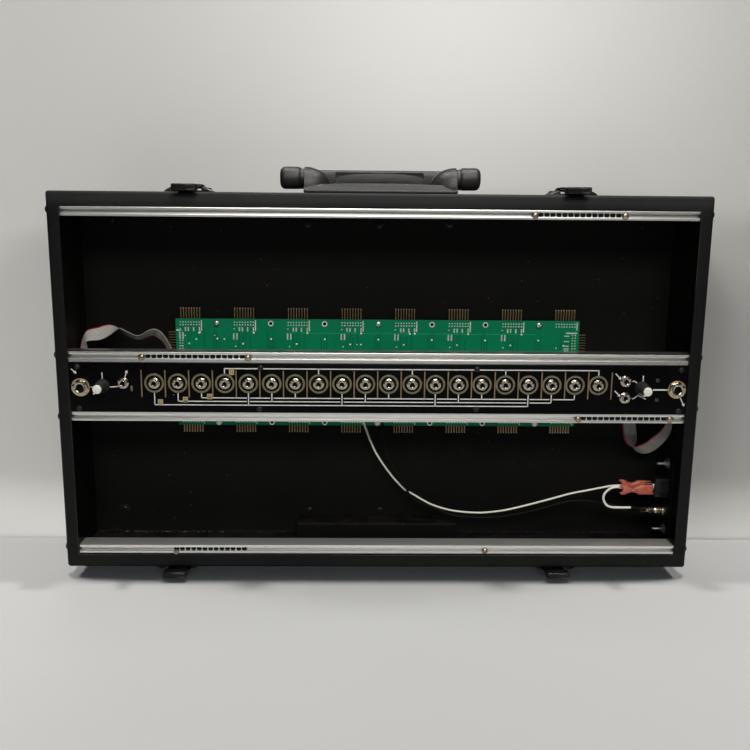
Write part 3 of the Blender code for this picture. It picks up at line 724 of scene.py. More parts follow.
def rail(node, low, high, lines, material=ALU):
    """A channel with its web in front, and a slot in the web along each screw line."""
    part = Part(node + "_extrusion", replaces=node, slot="rail_aluminium", sharp=40)
    channel = [(RAIL_Y1, high), (RAIL_Y1, high - FLANGE), (WEB_BACK, high - FLANGE),
               (WEB_BACK, low + FLANGE), (RAIL_Y1, low + FLANGE), (RAIL_Y1, low)]
    outline, radii = [(RAIL_Y0, low)], [0.55]
    # at the ends the web is cut back behind the rim
    cut = RAIL_Y0 + 2.3
    end_outline = [(cut, low)]
    for line in sorted(lines):
        outline += [(RAIL_Y0, line - MOUTH), (SLOT_Y, line - MOUTH),
                    (SLOT_Y, line - CAVITY), (SLOT_BACK, line - CAVITY),
                    (SLOT_BACK, line + CAVITY), (SLOT_Y, line + CAVITY),
                    (SLOT_Y, line + MOUTH), (RAIL_Y0, line + MOUTH)]
        radii += [0.4, 0.15, 0.1, 0.25, 0.25, 0.1, 0.15, 0.4]
        end_outline += [(cut, line - CAVITY), (SLOT_BACK, line - CAVITY),
                        (SLOT_BACK, line + CAVITY), (cut, line + CAVITY)]
    outline += [(RAIL_Y0, high)] + channel
    radii += [0.55, 0.5, 0.3, 0.5, 0.5, 0.3, 0.5]
    part.prism(rounded(outline, radii, 2), "X", -END_X, END_X, material)
    end_outline += [(cut, high)] + channel
    for side in (-1, 1):
        start, end = sorted((side * END_X, side * RAIL_X))
        part.prism(end_outline, "X", start, end, ALU)
    # bosses that take the side wall screws
    for line in lines:
        for side, outward, inward in SIDES:
            seat = (side * (RAIL_X - 0.1), WEB_BACK + 2.6, line)
            part.rod(2.6, 0, 14, seat, inward, ALU, 18)
    part.done()


rail("top_rail", *about(LINE_TOP, 4.0), [LINE_TOP])
rail("upper_middle_rail", 14.2, LINE_UP + 4.0, [LINE_UP, PANEL_LINES[0]])
rail("lower_middle_rail", LINE_LOW - 4.0, -15.2, [LINE_LOW, PANEL_LINES[1]])
# the bottom rail takes the paler copy of the aluminium: painted light
rail("bottom_rail", *about(LINE_BOT, 4.0), [LINE_BOT], ALU_LIT_COPY)


# ----------------------------------------------------- sliding threaded strips
STRIP_Y = SLOT_Y + 0.35
# stem, line, first hole x, hole count, screws as (x, z, turn, head radius)
STRIPS = [
    ("top", LINE_TOP, 129.1, 16,
     [(129.1, LINE_TOP - 0.9, 0.3, 2.85), (205.3, LINE_TOP - 0.6, 0.9, 2.85)]),
    ("upper_middle", LINE_UP, -206.2, 19,
     [(-206.2, LINE_UP - 0.8, 0.2, 2.85), (-114.8, LINE_UP - 0.8, 0.0, 2.85)]),
    ("lower_middle", LINE_LOW, 175.1, 17,
     [(175.1, LINE_LOW - 0.6, 0.6, 2.85), (256.4, LINE_LOW - 0.6, 0.75, 3.1)]),
    ("bottom", LINE_BOT, -182.15, 13, [(-182.15, LINE_BOT - 2.6, 0.1, 2.5)])]


def module_screw(part, x, z, turn, radius):
    seat = (x, RAIL_Y0 - 0.02, z)
    part.pan_screw(seat, "-Y", radius, 2.0, SCREW_BRASS, turn)
    part.rod(1.3, 0.4, -4.6, seat, "-Y", SCREW_BRASS, 16)


def strip(stem, line, first, count, screws):
    """A bar with countersunk holes at the module pitch, with painted shade inside the holes."""
    places = [first + i * HP for i in range(count)]
    last = first + (count - 1) * HP
    bar = carved(
        box_solid((first - 2.4, last + 2.4), (STRIP_Y, STRIP_Y + 1.9), about(line, 2.6), 0.25),
        bores_solid([(x, line, 1.45) for x in places], STRIP_Y - 0.4, 4, 20),
        bores_solid([(x, line, 1.30, 2.42) for x in places], STRIP_Y + 0.42, 1.1, 20))
    # faces in the bores and countersinks take the painted shade
    for face in bar.faces:
        nearest = round((face.calc_center_median().x / MM - first) / HP)
        radius, y = off_axis(face, first + nearest * HP, line)
        inside = radius < 2.45 and STRIP_Y + 0.05 < y < STRIP_Y + 1.85
        face.material_index = 1 if inside else 0
    part = Part(stem + "_strip_bar", stem + "_strip", replaces=stem + "_threaded_strip",
                slot="strip_steel", sharp=30)
    part.add(bar, ZINC, HOLE_SHADE)
    for screw in screws:
        module_screw(part, *screw)
    part.done()


for row in STRIPS:
    strip(*row)
loose = Part("loose_module_screw", slot="brass")
module_screw(loose, 96.8, LINE_BOT - 1.0, turn=0.7, radius=2.6)
loose.box(about(96.8, 2.2), (RAIL_Y0 + 2.2, RAIL_Y0 + 4.0), about(LINE_BOT, 2.5), STEEL, 0.3)
loose.done()

# ---------------------------------------------------------------- patch panel
BUS_X = [-195.7 + 4 * HP * i for i in range(20)]
BUS_Z = 3.5
# name, x, z
SMALL_JACKS = [("input_jack_1", -222.4, 3.4), ("input_jack_2", 214.5, 7.3),
               ("input_jack_3", 214.5, -7.5)]
BIG_JACKS = [("line_jack_left", -259.0, -0.4), ("line_jack_right", 259.5, 0.3)]
KNOBS = [("left", -239.8, 1.1), ("right", 228.2, 1.5)]
# x, z, half width, half height, finish of the light pipe
LIGHT_SLOTS = [(-215.4, -1.4, 1.0, 2.5, OLIVE), (242.5, 8.3, 1.7, 1.7, PIPE),
               (242.9, -9.1, 1.7, 1.7, PIPE)]
PANEL_SCREWS = [(-261.2, 17.6), (-261.2, -19.2), (-103.6, 17.4), (-105.0, -18.9),
                (83.9, 17.3), (84.2, -18.3), (262.4, 17.6), (262.3, -19.0)]

slots = bmesh.new()
for x, z, half_w, half_h, material in LIGHT_SLOTS:
    absorb(slots, box_solid(about(x, half_w), (-3, 5), about(z, half_h)))
holes = [(x, BUS_Z, 3.35) for x in BUS_X]
for jacks, radius in ((SMALL_JACKS, 3.35), (BIG_JACKS, 5.1), (KNOBS, 3.6)):
    holes += [(x, z, radius) for name, x, z in jacks]
panel = Part("patch_panel_plate", replaces="patch_panel", slot="panel_black", sharp=30)
panel.add(carved(box_solid(about(0, 268.4), (PANEL_Y, PANEL_Y + 1.6), PANEL_Z, 0.22),
                 bores_solid(holes, 1, 8), slots), PANEL_MASK)
for x, z, half_w, half_h, material in LIGHT_SLOTS:
    panel.box(about(x, half_w - 0.05), (PANEL_Y + 0.25, PANEL_Y + 2.4),
              about(z, half_h - 0.05), material, 0.2)
panel.done()

# printing on the panel
PRINT_Y = (PANEL_Y - 0.045, PANEL_Y + 0.03)
STROKE_END = 0.42                   # how far a stroke runs past a joint
TOP_BUS_Z = 16.6
LOW_BUS_Z = {2: -9.3, 1: -12.4, 0: -15.6}   # first jack of each lower bus: height of its line
CROSSING_GAP = 1.4
prints = Part("panel_print", slot="panel_black", sharp=40)


def stroke(x0, z0, x1, z1, width=0.85):
    """A flat printed stroke between two points."""
    start, end = Vector((x0, z0)), Vector((x1, z1))
    run = (end - start).normalized()
    half = Vector((-run.y, run.x)) * (width / 2)
    prints.prism([start + half, end + half, end - half, start - half], "Y", *PRINT_Y, PRINT)


def arrow(x0, z0, x1, z1):
    """A stroke with a barbed head at its second point."""
    head = 2.6
    start, end = Vector((x0, z0)), Vector((x1, z1))
    run = (end - start).normalized()
    beside = Vector((-run.y, run.x)) * head * 0.62
    notch = end - run * head * 0.6
    stroke(start.x, start.y, notch.x, notch.y, 0.8)
    barbs = end - run * head
    prints.prism([end + run * 0.3, barbs + beside, notch, barbs - beside],
                 "Y", PRINT_Y[0] - 0.004, PRINT_Y[1], PRINT)


for x in BUS_X:
    prints.ring([(6.75, -0.04), (8.45, -0.04), (8.5, 0.0), (8.45, 0.05), (6.75, 0.05)],
                (x, PANEL_Y, BUS_Z), "-Y", OLIVE, 64)
for i in range(21):
    prints.box(about(-206.6 + 20.44 * i, 0.5), PRINT_Y, (-8.9, 15.0), COPPER)
stroke(BUS_X[3], TOP_BUS_Z, BUS_X[19], TOP_BUS_Z)
for x in BUS_X[3::4]:
    stroke(x, TOP_BUS_Z + STROKE_END, x, 12.2)
for first, z in LOW_BUS_Z.items():
    members = BUS_X[first::4]
    # the line breaks where the drops of the buses below it cross
    crossings = sorted(x for k in LOW_BUS_Z if LOW_BUS_Z[k] < z for x in BUS_X[k::4])
    start, end = members[0] - STROKE_END, members[-1] + STROKE_END
    for crossing in crossings:
        if start < crossing - CROSSING_GAP < end:
            stroke(start, z, crossing - CROSSING_GAP, z)
            start = crossing + CROSSING_GAP
    stroke(start, z, end, z)
    for x in members:
        stroke(x, z - STROKE_END, x, -5.2)
for x, z in ((-190.8, -13.2), (-169.1, -10.9), (-148.2, -8.1), (-128.7, 13.4)):
    prints.box(about(x, 2.2), PRINT_Y, about(z, 2.4), GOLD)
    for shift in (-0.7, 0.7):
        prints.box(about(x + shift, 0.28), (PRINT_Y[0] - 0.012, PRINT_Y[0] + 0.01),
                   about(z, 1.5), OLIVE)
# kind, x and z of both ends, and a width where it is not the usual one
PANEL_MARKS = [
    (arrow, -266.6, 15.6, -262.2, 11.6), (arrow, -220.6, 8.6, -218.6, 14.6),
    (stroke, -240.2, 12.6, -240.2, 6.5), (stroke, -235.0, -0.2, -225.4, 0.4),
    (stroke, -250.3, -0.3, -248.0, -0.3),
    (arrow, 205.1, 14.1, 210.2, 8.9), (arrow, 205.3, -1.3, 210.4, -6.4),
    (stroke, 220.2, 7.4, 222.3, 7.5), (stroke, 222.2, 7.6, 226.5, 4.0),
    (stroke, 220.9, -8.1, 222.8, -7.7), (stroke, 222.6, -7.8, 225.8, -4.9),
    (stroke, 225.6, -4.9, 233.1, -8.6, 1.0), (stroke, 229.5, 12.4, 229.6, 5.3),
    (stroke, 238.8, -0.2, 252.9, -0.1, 1.1), (arrow, 263.4, -7.5, 267.2, -14.6)]
for mark, *ends in PANEL_MARKS:
    mark(*ends)
prints.done()


# ---------------------------------------------------------------------- jacks
def behind(near, far):
    """A range of y measured back from the face of the patch panel."""
    return (PANEL_Y + near, PANEL_Y + far)


def add_bush(part, profile, x, z, bore, segments):
    """A threaded bush whose bore is painted with shade past the lip."""
    bush = lathe_solid(profile, (x, PANEL_Y, z), "-Y", segments)
    for face in bush.faces:
        radius, y = off_axis(face, x, z)
        face.material_index = 1 if radius < bore + 0.03 and y > PANEL_Y - 2.45 else 0
    part.add(bush, NICKEL, HOLE_SHADE)


SMALL_BUSH = ([(0, -8.0), (1.8, -8.0), (1.8, 2.4), (2.0, 2.8), (2.3, 3.0), (2.75, 3.0),
               (2.92, 2.8)] + thread(2.6, -2.0, -0.4, crest=2.95, root=2.72)
              + [(2.72, -2.1), (4.3, -2.1), (4.3, -2.6), (3.6, -2.6), (3.6, -8.6), (0, -8.6)])
BIG_BUSH = ([(0, -20.0), (3.15, -20.0), (3.15, 3.0), (3.4, 3.7), (3.9, 4.0), (4.5, 4.0),
             (4.75, 3.7)] + thread(3.4, -2.0, -0.56, crest=4.8, root=4.5)
            + [(4.5, -2.1), (7.6, -2.1), (7.6, -3.2), (5.6, -3.2), (5.6, -20.5), (0, -20.5)])


def small_jack(node, x, z, turn):
    part = Part(node.replace("jack", "socket"), replaces=node, slot="nickel", sharp=34)
    part.ring([(3.05, 0.0), (4.85, 0.0), (4.85, 0.4), (4.7, 0.5), (3.05, 0.5)],
              (x, PANEL_Y, z), "-Y", NICKEL, 40)
    part.hex_nut((x, PANEL_Y - 0.5, z), "-Y", 8.2, 1.75, 2.9, NICKEL, turn, 48)
    add_bush(part, SMALL_BUSH, x, z, 1.8, 32)
    # a contact past the bore, then the moulded body behind the panel and its terminals
    part.box(about(x, 1.0), behind(6.5, 7.6), (z - 0.9, z - 0.2), PIN_GOLD, 0.1)
    part.box(about(x, 4.5), behind(2.7, 12.4), (z - 5.0, z + 5.2), PLASTIC, 0.4)
    part.box(about(x, 3.0), behind(4.0, 11.0), (z + 5.0, z + 5.6), PIN_GOLD, 0.1)
    part.box(about(x, 0.5), behind(12.0, 16.4), (z - 6.6, z - 5.0), PIN_GOLD, 0.1)
    part.done()


def big_jack(node, x, z, turn):
    part = Part(node.replace("jack", "socket"), replaces=node, slot="nickel", sharp=34)
    part.ring([(4.9, 0.0), (8.1, 0.0), (8.15, 0.4), (7.9, 0.9), (4.9, 0.9)],
              (x, PANEL_Y, z), "-Y", BRASS, 56)
    part.hex_nut((x, PANEL_Y - 0.9, z), "-Y", 12.6, 2.1, 4.75, NICKEL, turn, 60)
    add_bush(part, BIG_BUSH, x, z, 3.15, 44)
    part.box(about(x, 7.8), behind(3.3, 26.0), about(z, 7.8), PLASTIC, 0.9, 3)
    for shift in (-4.5, 0.0, 4.5):
        part.box(about(x + shift, 1.1), behind(16, 24.0), (z - 8.4, z - 7.6), STEEL, 0.15)
    part.done()


draw = random.Random(7)
for i, x in enumerate(BUS_X):
    small_jack("bus_jack_%02d" % (i + 1), x, BUS_Z, draw.uniform(0, 1.05))
for node, x, z in SMALL_JACKS:
    small_jack(node, x, z, draw.uniform(0, 1.05))
for (node, x, z), turn in zip(BIG_JACKS, (0.25, 0.7)):
    big_jack(node, x, z, turn)

# ---------------------------------------------------------------------- knobs
KNOB_PROFILE = [(0, 18.2), (3.5, 18.2), (4.0, 17.9), (4.4, 17.0), (4.55, 16.4), (4.65, 16.2),
                (4.8, 12.0), (5.1, 6.0), (5.3, 4.6), (5.4, 4.2), (5.9, 3.6), (6.1, 2.8),
                (6.15, 0.9), (5.95, 0.7), (0, 0.7)]
CAP_PROFILE = [(0, 19.15), (2.9, 19.15), (3.5, 18.95), (3.75, 18.5), (3.8, 17.2), (0, 17.2)]
POINTER_ANGLE = math.radians(232)
# white rib that marks the setting: two y from the panel, inner and outer radius
POINTER = [(-18.6, -16.2, 2.8, 5.1), (-16.4, -4.6, 4.3, 5.35)]


def flutes(angle, k):
    return 1.0 - (0.055 * (0.5 + 0.5 * math.cos(18 * angle)) if 5 <= k <= 8 else 0.0)


for side, x, z in KNOBS:
    node = "level_knob_" + side
    knob = Part(node + "_moulding", "knob_" + side, replaces=node, slot="black_plastic",
                sharp=36)
    seat = (x, PANEL_Y, z)
    knob.lathe(KNOB_PROFILE, seat, "-Y", KNOB, 108, flutes)
    knob.lathe(CAP_PROFILE, seat, "-Y", CAP_WHITE, 48)
    run = Vector((math.cos(POINTER_ANGLE), math.sin(POINTER_ANGLE)))
    half = Vector((-run.y, run.x)) * 0.55
    axis = Vector((x, z))
    for front, back, inner, outer in POINTER:
        knob.prism([axis + run * inner + half, axis + run * outer + half,
                    axis + run * outer - half, axis + run * inner - half],
                   "Y", *behind(front, back), CAP_WHITE)
    knob.rod(2.95, -4.0, 1.0, seat, "-Y", STEEL, 24)
    knob.done(origin=place(*seat))

# ---------------------------------------------------------------- panel screws
screws = Part("panel_screws", slot="latch_black")
for i, (x, z) in enumerate(PANEL_SCREWS):
    screws.pan_screw((x, PANEL_Y - 0.3, z), "-Y", 2.3, 1.5, BLACK_SCREW, turn=0.35 + i * 0.8)
    screws.rod(2.6, -0.05, 0.3, (x, PANEL_Y, z), "-Y", BLACK_SCREW, 22)
screws.done()

# ----------------------------------------------------------------- jack board
board = Part("jack_board_assembly", replaces="jack_board", slot="board_green", sharp=30)
board.box((-246, 246), (13.0, 14.6), (-13.3, 12.3), GREEN, 0.1, 1)
for side, x, z in KNOBS:
    # the knob's control: body, bush and nut
    board.box(about(x, 4.9), (7.0, 13.2), about(z, 5.4), PLASTIC, 0.4)
    board.lathe([(0, 0), (3.4, 0), (3.4, 4.6), (3.1, 4.9), (0, 4.9)], (x, 7.2, z), "-Y",
                STEEL, 28)
    board.hex_nut((x, 5.0, z), "-Y", 8.4, 1.7, 3.3, NICKEL, turn=0.3)
for x in BUS_X:
    for shift, z in ((-4.5, -8.0), (0, -9.6), (4.5, -8.0), (0, 6.5)):
        board.lathe([(0, 1.0), (0.5, 0.7), (0.95, 0.2), (1.05, -0.1), (0, -0.1)],
                    (x + shift, 14.6, z), "+Y", SOLDER, 10)
for i in range(26):
    board.box(about(-236 + i * 18.9, 1.6), (14.5, 15.4), (9.2, 10.6),
              PLASTIC if i % 3 else SOLDER, 0.12)
board.done()

# ---------------------------------------------------------------- power board
CELL_PITCH = 10 * HP
CELLS = [(i - 3.5) * CELL_PITCH for i in range(8)]
BOARD_LOW, BOARD_HIGH = -51.6, 51.0
PIN_PITCH = HP / 2
PIN_ROWS = (BOARD_Y + 3.1, BOARD_Y + 5.64)      # y of the two rows behind the board
HEADER_Y = (BOARD_Y + 1.6, BOARD_Y + 6.9)
PAD = [(0, 0.85), (0.28, 0.8), (0.5, 0.45), (0.7, 0.12), (0.82, -0.05), (0, -0.05)]
BORES = [(x, z, 1.65) for x in (-101.6, -50.8, 50.8, 101.6) for z in (46.8, -48.9)]
# vias repeated in the cells: x from the cell's middle, z, radius
CELL_VIAS = [(-1.1, 27.3, 0.85), (9.2, 37.8, 0.9), (-8.0, 25.0, 0.55), (25.5, 32.0, 0.9)]
# other vias: x, z, radius
VIAS = [(-172.0, 31.6, 0.8), (-169.4, 37.6, 0.9), (-182.4, 35.0, 0.55), (-154.7, 35.2, 0.5),
        (-145.5, 31.7, 0.8), (-117.9, 38.0, 0.9), (-16.4, 27.2, 0.8), (-20.1, 27.2, 0.55),
        (30.0, 37.8, 0.9)]
# columns of printed ticks: x from the cell's middle, z of the middle, height
TICKS = [(-9.6, 34.4, 5.6), (-6.6, 34.4, 5.6), (-4.2, 41.2, 3.6), (-1.4, 41.2, 3.6),
         (3.5, 40.8, 4.2), (9.0, 41.3, 3.6), (-9.2, 41.6, 0.8)]
board = Part("power_board_assembly", replaces="power_board", slot="board_green", sharp=30)


def flat(x0, x1, z0, z1, material, thickness=0.05):
    """A thin patch on the front of the board."""
    board.box((x0, x1), (BOARD_Y - thickness, BOARD_Y + 0.05), (z0, z1), material)


def pad(x, z):
    board.lathe(PAD, (x, BOARD_Y, z), "-Y", SOLDER, 10)


def via(x, z, radius):
    board.lathe([(0, 0.14), (radius * 0.6, 0.12), (radius, 0.0), (radius, -0.05), (0, -0.05)],
                (x, BOARD_Y, z), "-Y", SOLDER, 14)


def header(middle, end, up, past):
    """A two-row angled header: solder pads in front, pins running past the edge behind."""
    pads = (end - 3.2 * up, end - 5.74 * up)
    tip = end + past * up
    for i in range(8):
        x = middle + (i - 3.5) * PIN_PITCH
        for z in pads:
            pad(x, z)
        for z, y in zip(pads, PIN_ROWS):
            board.box(about(x, 0.32), about(y, 0.32), (z, tip), PIN_GOLD, 0.12, 1)
            # the last millimetre of each pin takes the paler copy: painted highlight
            board.box(about(x, 0.34), about(y, 0.34), (tip - 1.0 * up, tip + 0.1 * up),
                      PIN_TIP_HIGHLIGHT, 0.15, 1)
            board.box(about(x, 0.3), (BOARD_Y + 0.5, y), about(z, 0.3), PIN_GOLD)
    board.box(about(middle, 10.16), HEADER_Y, (end - 1.5 * up, end - 4.0 * up), PLASTIC, 0.2, 1)


board.add(carved(box_solid(about(0, 191.2), (BOARD_Y, BOARD_Y + 1.6), (BOARD_LOW, BOARD_HIGH),
                           0.15, 1),
                 bores_solid(BORES, BOARD_Y + 0.8, 6, 24)), GREEN)
for x, z, radius in BORES:
    board.ring([(1.66, -0.05), (2.55, -0.05), (2.6, 0.0), (2.55, 0.07), (1.66, 0.07)],
               (x, BOARD_Y, z), "-Y", SOLDER, 28)
for x in CELLS:
    header(x, BOARD_HIGH, 1, 10.0)
    header(x, BOARD_LOW, -1, 7.6)
    flat(x + 10.5, x + 11.4, 42.4 if x > 170 else 39.7, 49.7, PRINT)
    flat(x + 10.5, x + 11.4, -50.6, -41.0, PRINT)
# headers at the left and right ends
for side in (-1, 1):
    for i in range(8):
        z = 37.8 - i * PIN_PITCH - (0.6 if side > 0 else 0)
        for x in sorted((side * 187.6, side * 184.9)):
            pad(x, z)
        for y in PIN_ROWS:
            board.box((side * 185.5, side * 198.6), about(y, 0.32), about(z, 0.32),
                      PIN_GOLD, 0.12, 1)
    board.box((side * 187.8, side * 190.4), HEADER_Y, (17.6, 40.4), PLASTIC, 0.2, 1)
flat(-191.0, -185.8, 39.6, 40.6, PRINT)
flat(178.6, 189.0, 38.9, 39.9, PRINT)

for n, middle in enumerate(CELLS):
    for shift, z, radius in CELL_VIAS:
        if n < 7 or shift <= 9:
            via(middle + shift, z, radius)
for row in VIAS:
    via(*row)
# short printed ticks stand where the legends would be
for middle in CELLS[:7]:
    for shift, z, tall in TICKS:
        bottom, upper = z - tall / 2, z + tall / 2
        while upper > bottom + 0.3:
            flat(*about(middle + shift, 0.62), max(upper - 0.72, bottom), upper, PRINT, 0.04)
            upper -= 1.0
for z in (36.6, 31.4, 27.0, 24.4, 22.4):
    for k in range(3):
        flat(177.0 + k * 1.7, 178.2 + k * 1.7, z - 0.5, z + 0.5, PRINT, 0.04)
# copper runs under the mask
for n, middle in enumerate(CELLS[1:], 1):
    for shift in (-28.6, -26.0, -23.6, -4.3, -1.0, 1.4, 6.0):
        flat(*about(middle + shift, 0.35), 8.0, 41.0 - (n * 7 + shift * 3) % 9, TRACE, 0.02)
flat(-179.8, -179.2, 12.0, 43.0, TRACE, 0.02)
flat(-154.9, -154.4, 12.0, 43.5, TRACE, 0.02)
flat(-164.8, -164.1, 12.0, 42.0, TRACE, 0.02)
flat(-88.0, 150.0, 37.6, 38.2, TRACE_LIGHT, 0.015)
for middle in CELLS[:7]:
    flat(middle + 12.4, middle + 40.0, -46.2, -45.6, TRACE_LIGHT, 0.015)
# screws and standoffs that hold the board off the back
for x, z in BOARD_SCREWS:
    board.pan_screw((x, BOARD_Y, z), "-Y", 2.9, 2.1, STEEL, turn=0.5 + x * 0.02)
    board.rod(1.4, 0, 9.9, (x, BOARD_Y + 1.6, z), "+Y", STEEL, 14)
    board.rod(2.7, 0.0, 8.9, (x, BOARD_Y + 1.7, z), "+Y", STEEL, 6)
board.done()


# --------------------------------------------------------------------- cables
VIEWPOINT = Vector((-22.9, -738.6, 144.5))      # in front of the case, close to the camera
LANES = 10                          # conductors in a ribbon
RIBBON_HALF = 0.42                  # half thickness of a ribbon
# Ribbon edges are (x, y, z) or (x, y, z, depth): a point with a depth slides along its line
# from the viewpoint until its y is the depth.
LEFT_FIRST = [
    (-278.1, 64.0, 16.6, 60), (-278.5, 66.0, 22.9, 61), (-276.8, 68.0, 31.1, 64),
    (-273.4, 69.5, 39.2, 67.5), (-267.8, 70.0, 41.9), (-262.4, 70.5, 42.9),
    (-257.3, 71.0, 44.6), (-251.7, 71.0, 45.4), (-246.6, 71.0, 43.9), (-242.1, 71.0, 40.8),
    (-235.8, 71.0, 35.7), (-229.4, 71.0, 32.2), (-223.9, 71.0, 31.4), (-218.2, 71.0, 33.2),
    (-212.5, 71.0, 35.0), (-207.9, 71.0, 33.4), (-203.3, 71.0, 29.8), (-199.1, 70.0, 23.8),
    (-197.6, 68.0, 16.5)]
LEFT_LAST = [
    (-267.6, 54.0, 18.3), (-268.1, 54.0, 25.7), (-269.2, 54.0, 30.4), (-267.7, 54.0, 32.0),
    (-262.5, 53.5, 32.7), (-256.9, 53.0, 33.2), (-251.3, 53.0, 35.2), (-246.3, 53.5, 38.3),
    (-241.7, 54.0, 42.0), (-237.6, 54.5, 44.1), (-230.6, 55.0, 40.7), (-223.4, 55.0, 37.4),
    (-217.8, 55.0, 38.7), (-212.2, 55.0, 42.1), (-207.1, 55.0, 43.7), (-201.3, 55.0, 41.8),
    (-196.0, 55.0, 35.3), (-191.7, 55.0, 26.7), (-190.6, 55.0, 18.6)]
RIGHT_FIRST = [
    (234.5, 66.0, -38.7), (235.2, 66.0, -46.7), (236.4, 65.0, -57.5), (237.6, 62.0, -62.8),
    (240.7, 58.0, -65.8), (245.2, 57.0, -66.7, 56), (249.4, 57.5, -65.7, 55),
    (255.5, 59.0, -63.5, 54), (261.4, 60.0, -59.2, 53), (268.4, 60.0, -53.1, 51),
    (273.3, 60.0, -46.6, 49), (276.3, 60.0, -38.1, 47)]
RIGHT_LAST = [
    (247.0, 66.0, -38.6), (247.8, 66.0, -46.7), (250.3, 68.0, -57.8), (251.3, 70.0, -64.8),
    (249.9, 71.0, -69.8), (250.6, 69.5, -73.6, 69), (256.0, 66.0, -75.6, 65),
    (262.3, 63.5, -74.1, 61), (269.3, 61.0, -68.4, 57), (277.1, 60.5, -59.3, 53),
    (280.5, 60.0, -49.8, 49), (280.6, 60.0, -38.0, 46)]


def edge_points(rows):
    points = []
    for row in rows:
        spot = Vector(row[:3])
        for depth in row[3:]:
            sight = spot - VIEWPOINT
            spot = VIEWPOINT + sight * ((depth - VIEWPOINT.y) / sight.y)
        points.append(spot)
    return points


def ribbon(name, first_edge, last_edge, *materials):
    """A flat cable ribbed along its length; materials are cord, first conductor, and the painted
    shade in the grooves.
    """
    ends_a, ends_b = edge_points(first_edge), edge_points(last_edge)
    side_a, side_b = spline(ends_a, 6), spline(ends_b, 6)
    solid = bmesh.new()
    rings = []
    normal = None
    for i, (a, b) in enumerate(zip(side_a, side_b)):
        j, k = max(i - 1, 0), min(i + 1, len(side_a) - 1)
        run = ((side_a[k] + side_b[k]) - (side_a[j] + side_b[j])).normalized()
        width = b - a
        face_on = run.cross(width).normalized()
        if normal is not None and face_on.dot(normal) < 0:
            face_on = -face_on
        normal = face_on
        front, rear = [], []
        for lane in range(LANES):
            for part, swell in ((0.06, 0.5), (0.3, 1.0), (0.7, 1.0), (0.94, 0.5)):
                base = a + width * ((lane + part) / LANES)
                front.append(base + normal * RIBBON_HALF * swell)
                rear.append(base - normal * RIBBON_HALF * swell)
        rings.append([solid.verts.new(place(*p)) for p in front + rear[::-1]])
    count = len(rings[0])
    slots = []
    for i in range(count):
        step = min(i, count - 1 - i)
        # slot 1 is the first conductor, slot 2 the groove faces with painted shade
        slots.append(1 if step < 4 else 2 if step % 4 == 3 else 0)
    skin(solid, rings, slots)
    cable = Part(name, sharp=50)
    cable.add(solid, *materials)
    for k in (0, -1):
        x, y, z = (ends_a[k] + ends_b[k]) / 2
        height = (z - 4.5, z + 2.5) if z > 0 else (z - 2.5, z + 4.5)
        cable.box(about(x, 6.6), about(y, 6), height, PLASTIC, 0.5)
    cable.done()


ribbon("left_ribbon_cable", LEFT_FIRST, LEFT_LAST, RIBBON, RIBBON_RED, RIBBON_GROOVE_SHADE)
# the right ribbon takes the darker copies: painted shade
ribbon("right_ribbon_cable", RIGHT_FIRST, RIGHT_LAST, RIBBON_SHADED, RIBBON_RED, RIBBON_SHADED_GROOVE)

# round leads from the power board to the inlet, as (x, y, z)
WHITE_LEAD = [
    (-16.8, 76.5, -37.4), (-12.8, 74.6, -49.6), (-11.0, 73.0, -54.4), (-7.1, 71.0, -64.4),
    (-1.2, 69.5, -77.0), (6.5, 68.5, -89.0), (14.1, 68.0, -99.3), (20.9, 67.5, -107.1),
    (27.4, 67.0, -113.3), (36.1, 66.5, -118.2), (44.5, 66.0, -123.3), (54.7, 65.5, -128.3),
    (68.2, 65.0, -132.5), (82.4, 64.0, -134.6), (100.5, 62.5, -135.0), (117.7, 61.0, -132.9),
    (131.3, 60.0, -129.9), (148.9, 58.0, -124.5), (167.1, 56.5, -118.8), (185.4, 55.0, -112.9),
    (203.0, 54.0, -108.9), (216.8, 53.0, -105.6), (224.7, 52.0, -103.9), (233.4, 51.5, -103.4),
    (238.7, 51.0, -104.2)]
WHITE_LOOP = [
    (240.6, 50.5, -106.6), (236.0, 50.5, -105.6), (228.9, 51.0, -104.9), (224.1, 51.5, -106.0),
    (220.1, 52.0, -109.0), (217.3, 52.0, -113.1), (217.0, 52.0, -117.1), (218.5, 51.5, -120.9),
    (221.2, 51.0, -123.7), (225.6, 50.5, -124.9), (232.7, 50.0, -125.0), (244.3, 50.0, -125.0)]
BLACK_SLEEVE = [
    (243.1, 50.0, -125.0), (246.0, 50.0, -125.4), (248.8, 50.0, -125.9), (252.4, 50.0, -126.6),
    (256.1, 50.0, -127.0), (258.7, 50.0, -127.3)]
BLACK_LEAD = [
    (4.9, 77.0, -38.2), (5.3, 74.6, -51.7), (7.1, 72.0, -68.9), (9.6, 69.5, -78.7),
    (15.5, 66.5, -90.2), (23.2, 64.5, -101.1), (28.2, 64.0, -110.8), (36.1, 64.5, -122.9),
    (53.0, 66.0, -130.2), (65.8, 66.0, -136.0), (78.5, 65.0, -139.3), (100.9, 64.0, -140.5),
    (122.6, 62.0, -138.7), (150.0, 60.0, -132.2), (172.2, 58.0, -124.9), (186.0, 57.0, -121.2),
    (200.6, 56.0, -120.2), (213.4, 55.5, -121.8), (229.6, 55.0, -124.8), (244.1, 54.0, -128.3),
    (253.7, 53.0, -131.0), (259.7, 52.0, -131.0)]
leads = Part("supply_leads", sharp=50)
leads.tube(spline(WHITE_LEAD, 5), 0.92, WIRE_WHITE, 12)
leads.tube(spline(WHITE_LOOP, 6), 1.12, WIRE_WHITE, 14)
leads.tube(spline(BLACK_SLEEVE, 5), 1.35, WIRE_BLACK, 14)
leads.tube(spline(BLACK_LEAD, 5), 0.92, WIRE_BLACK, 12)
leads.done()

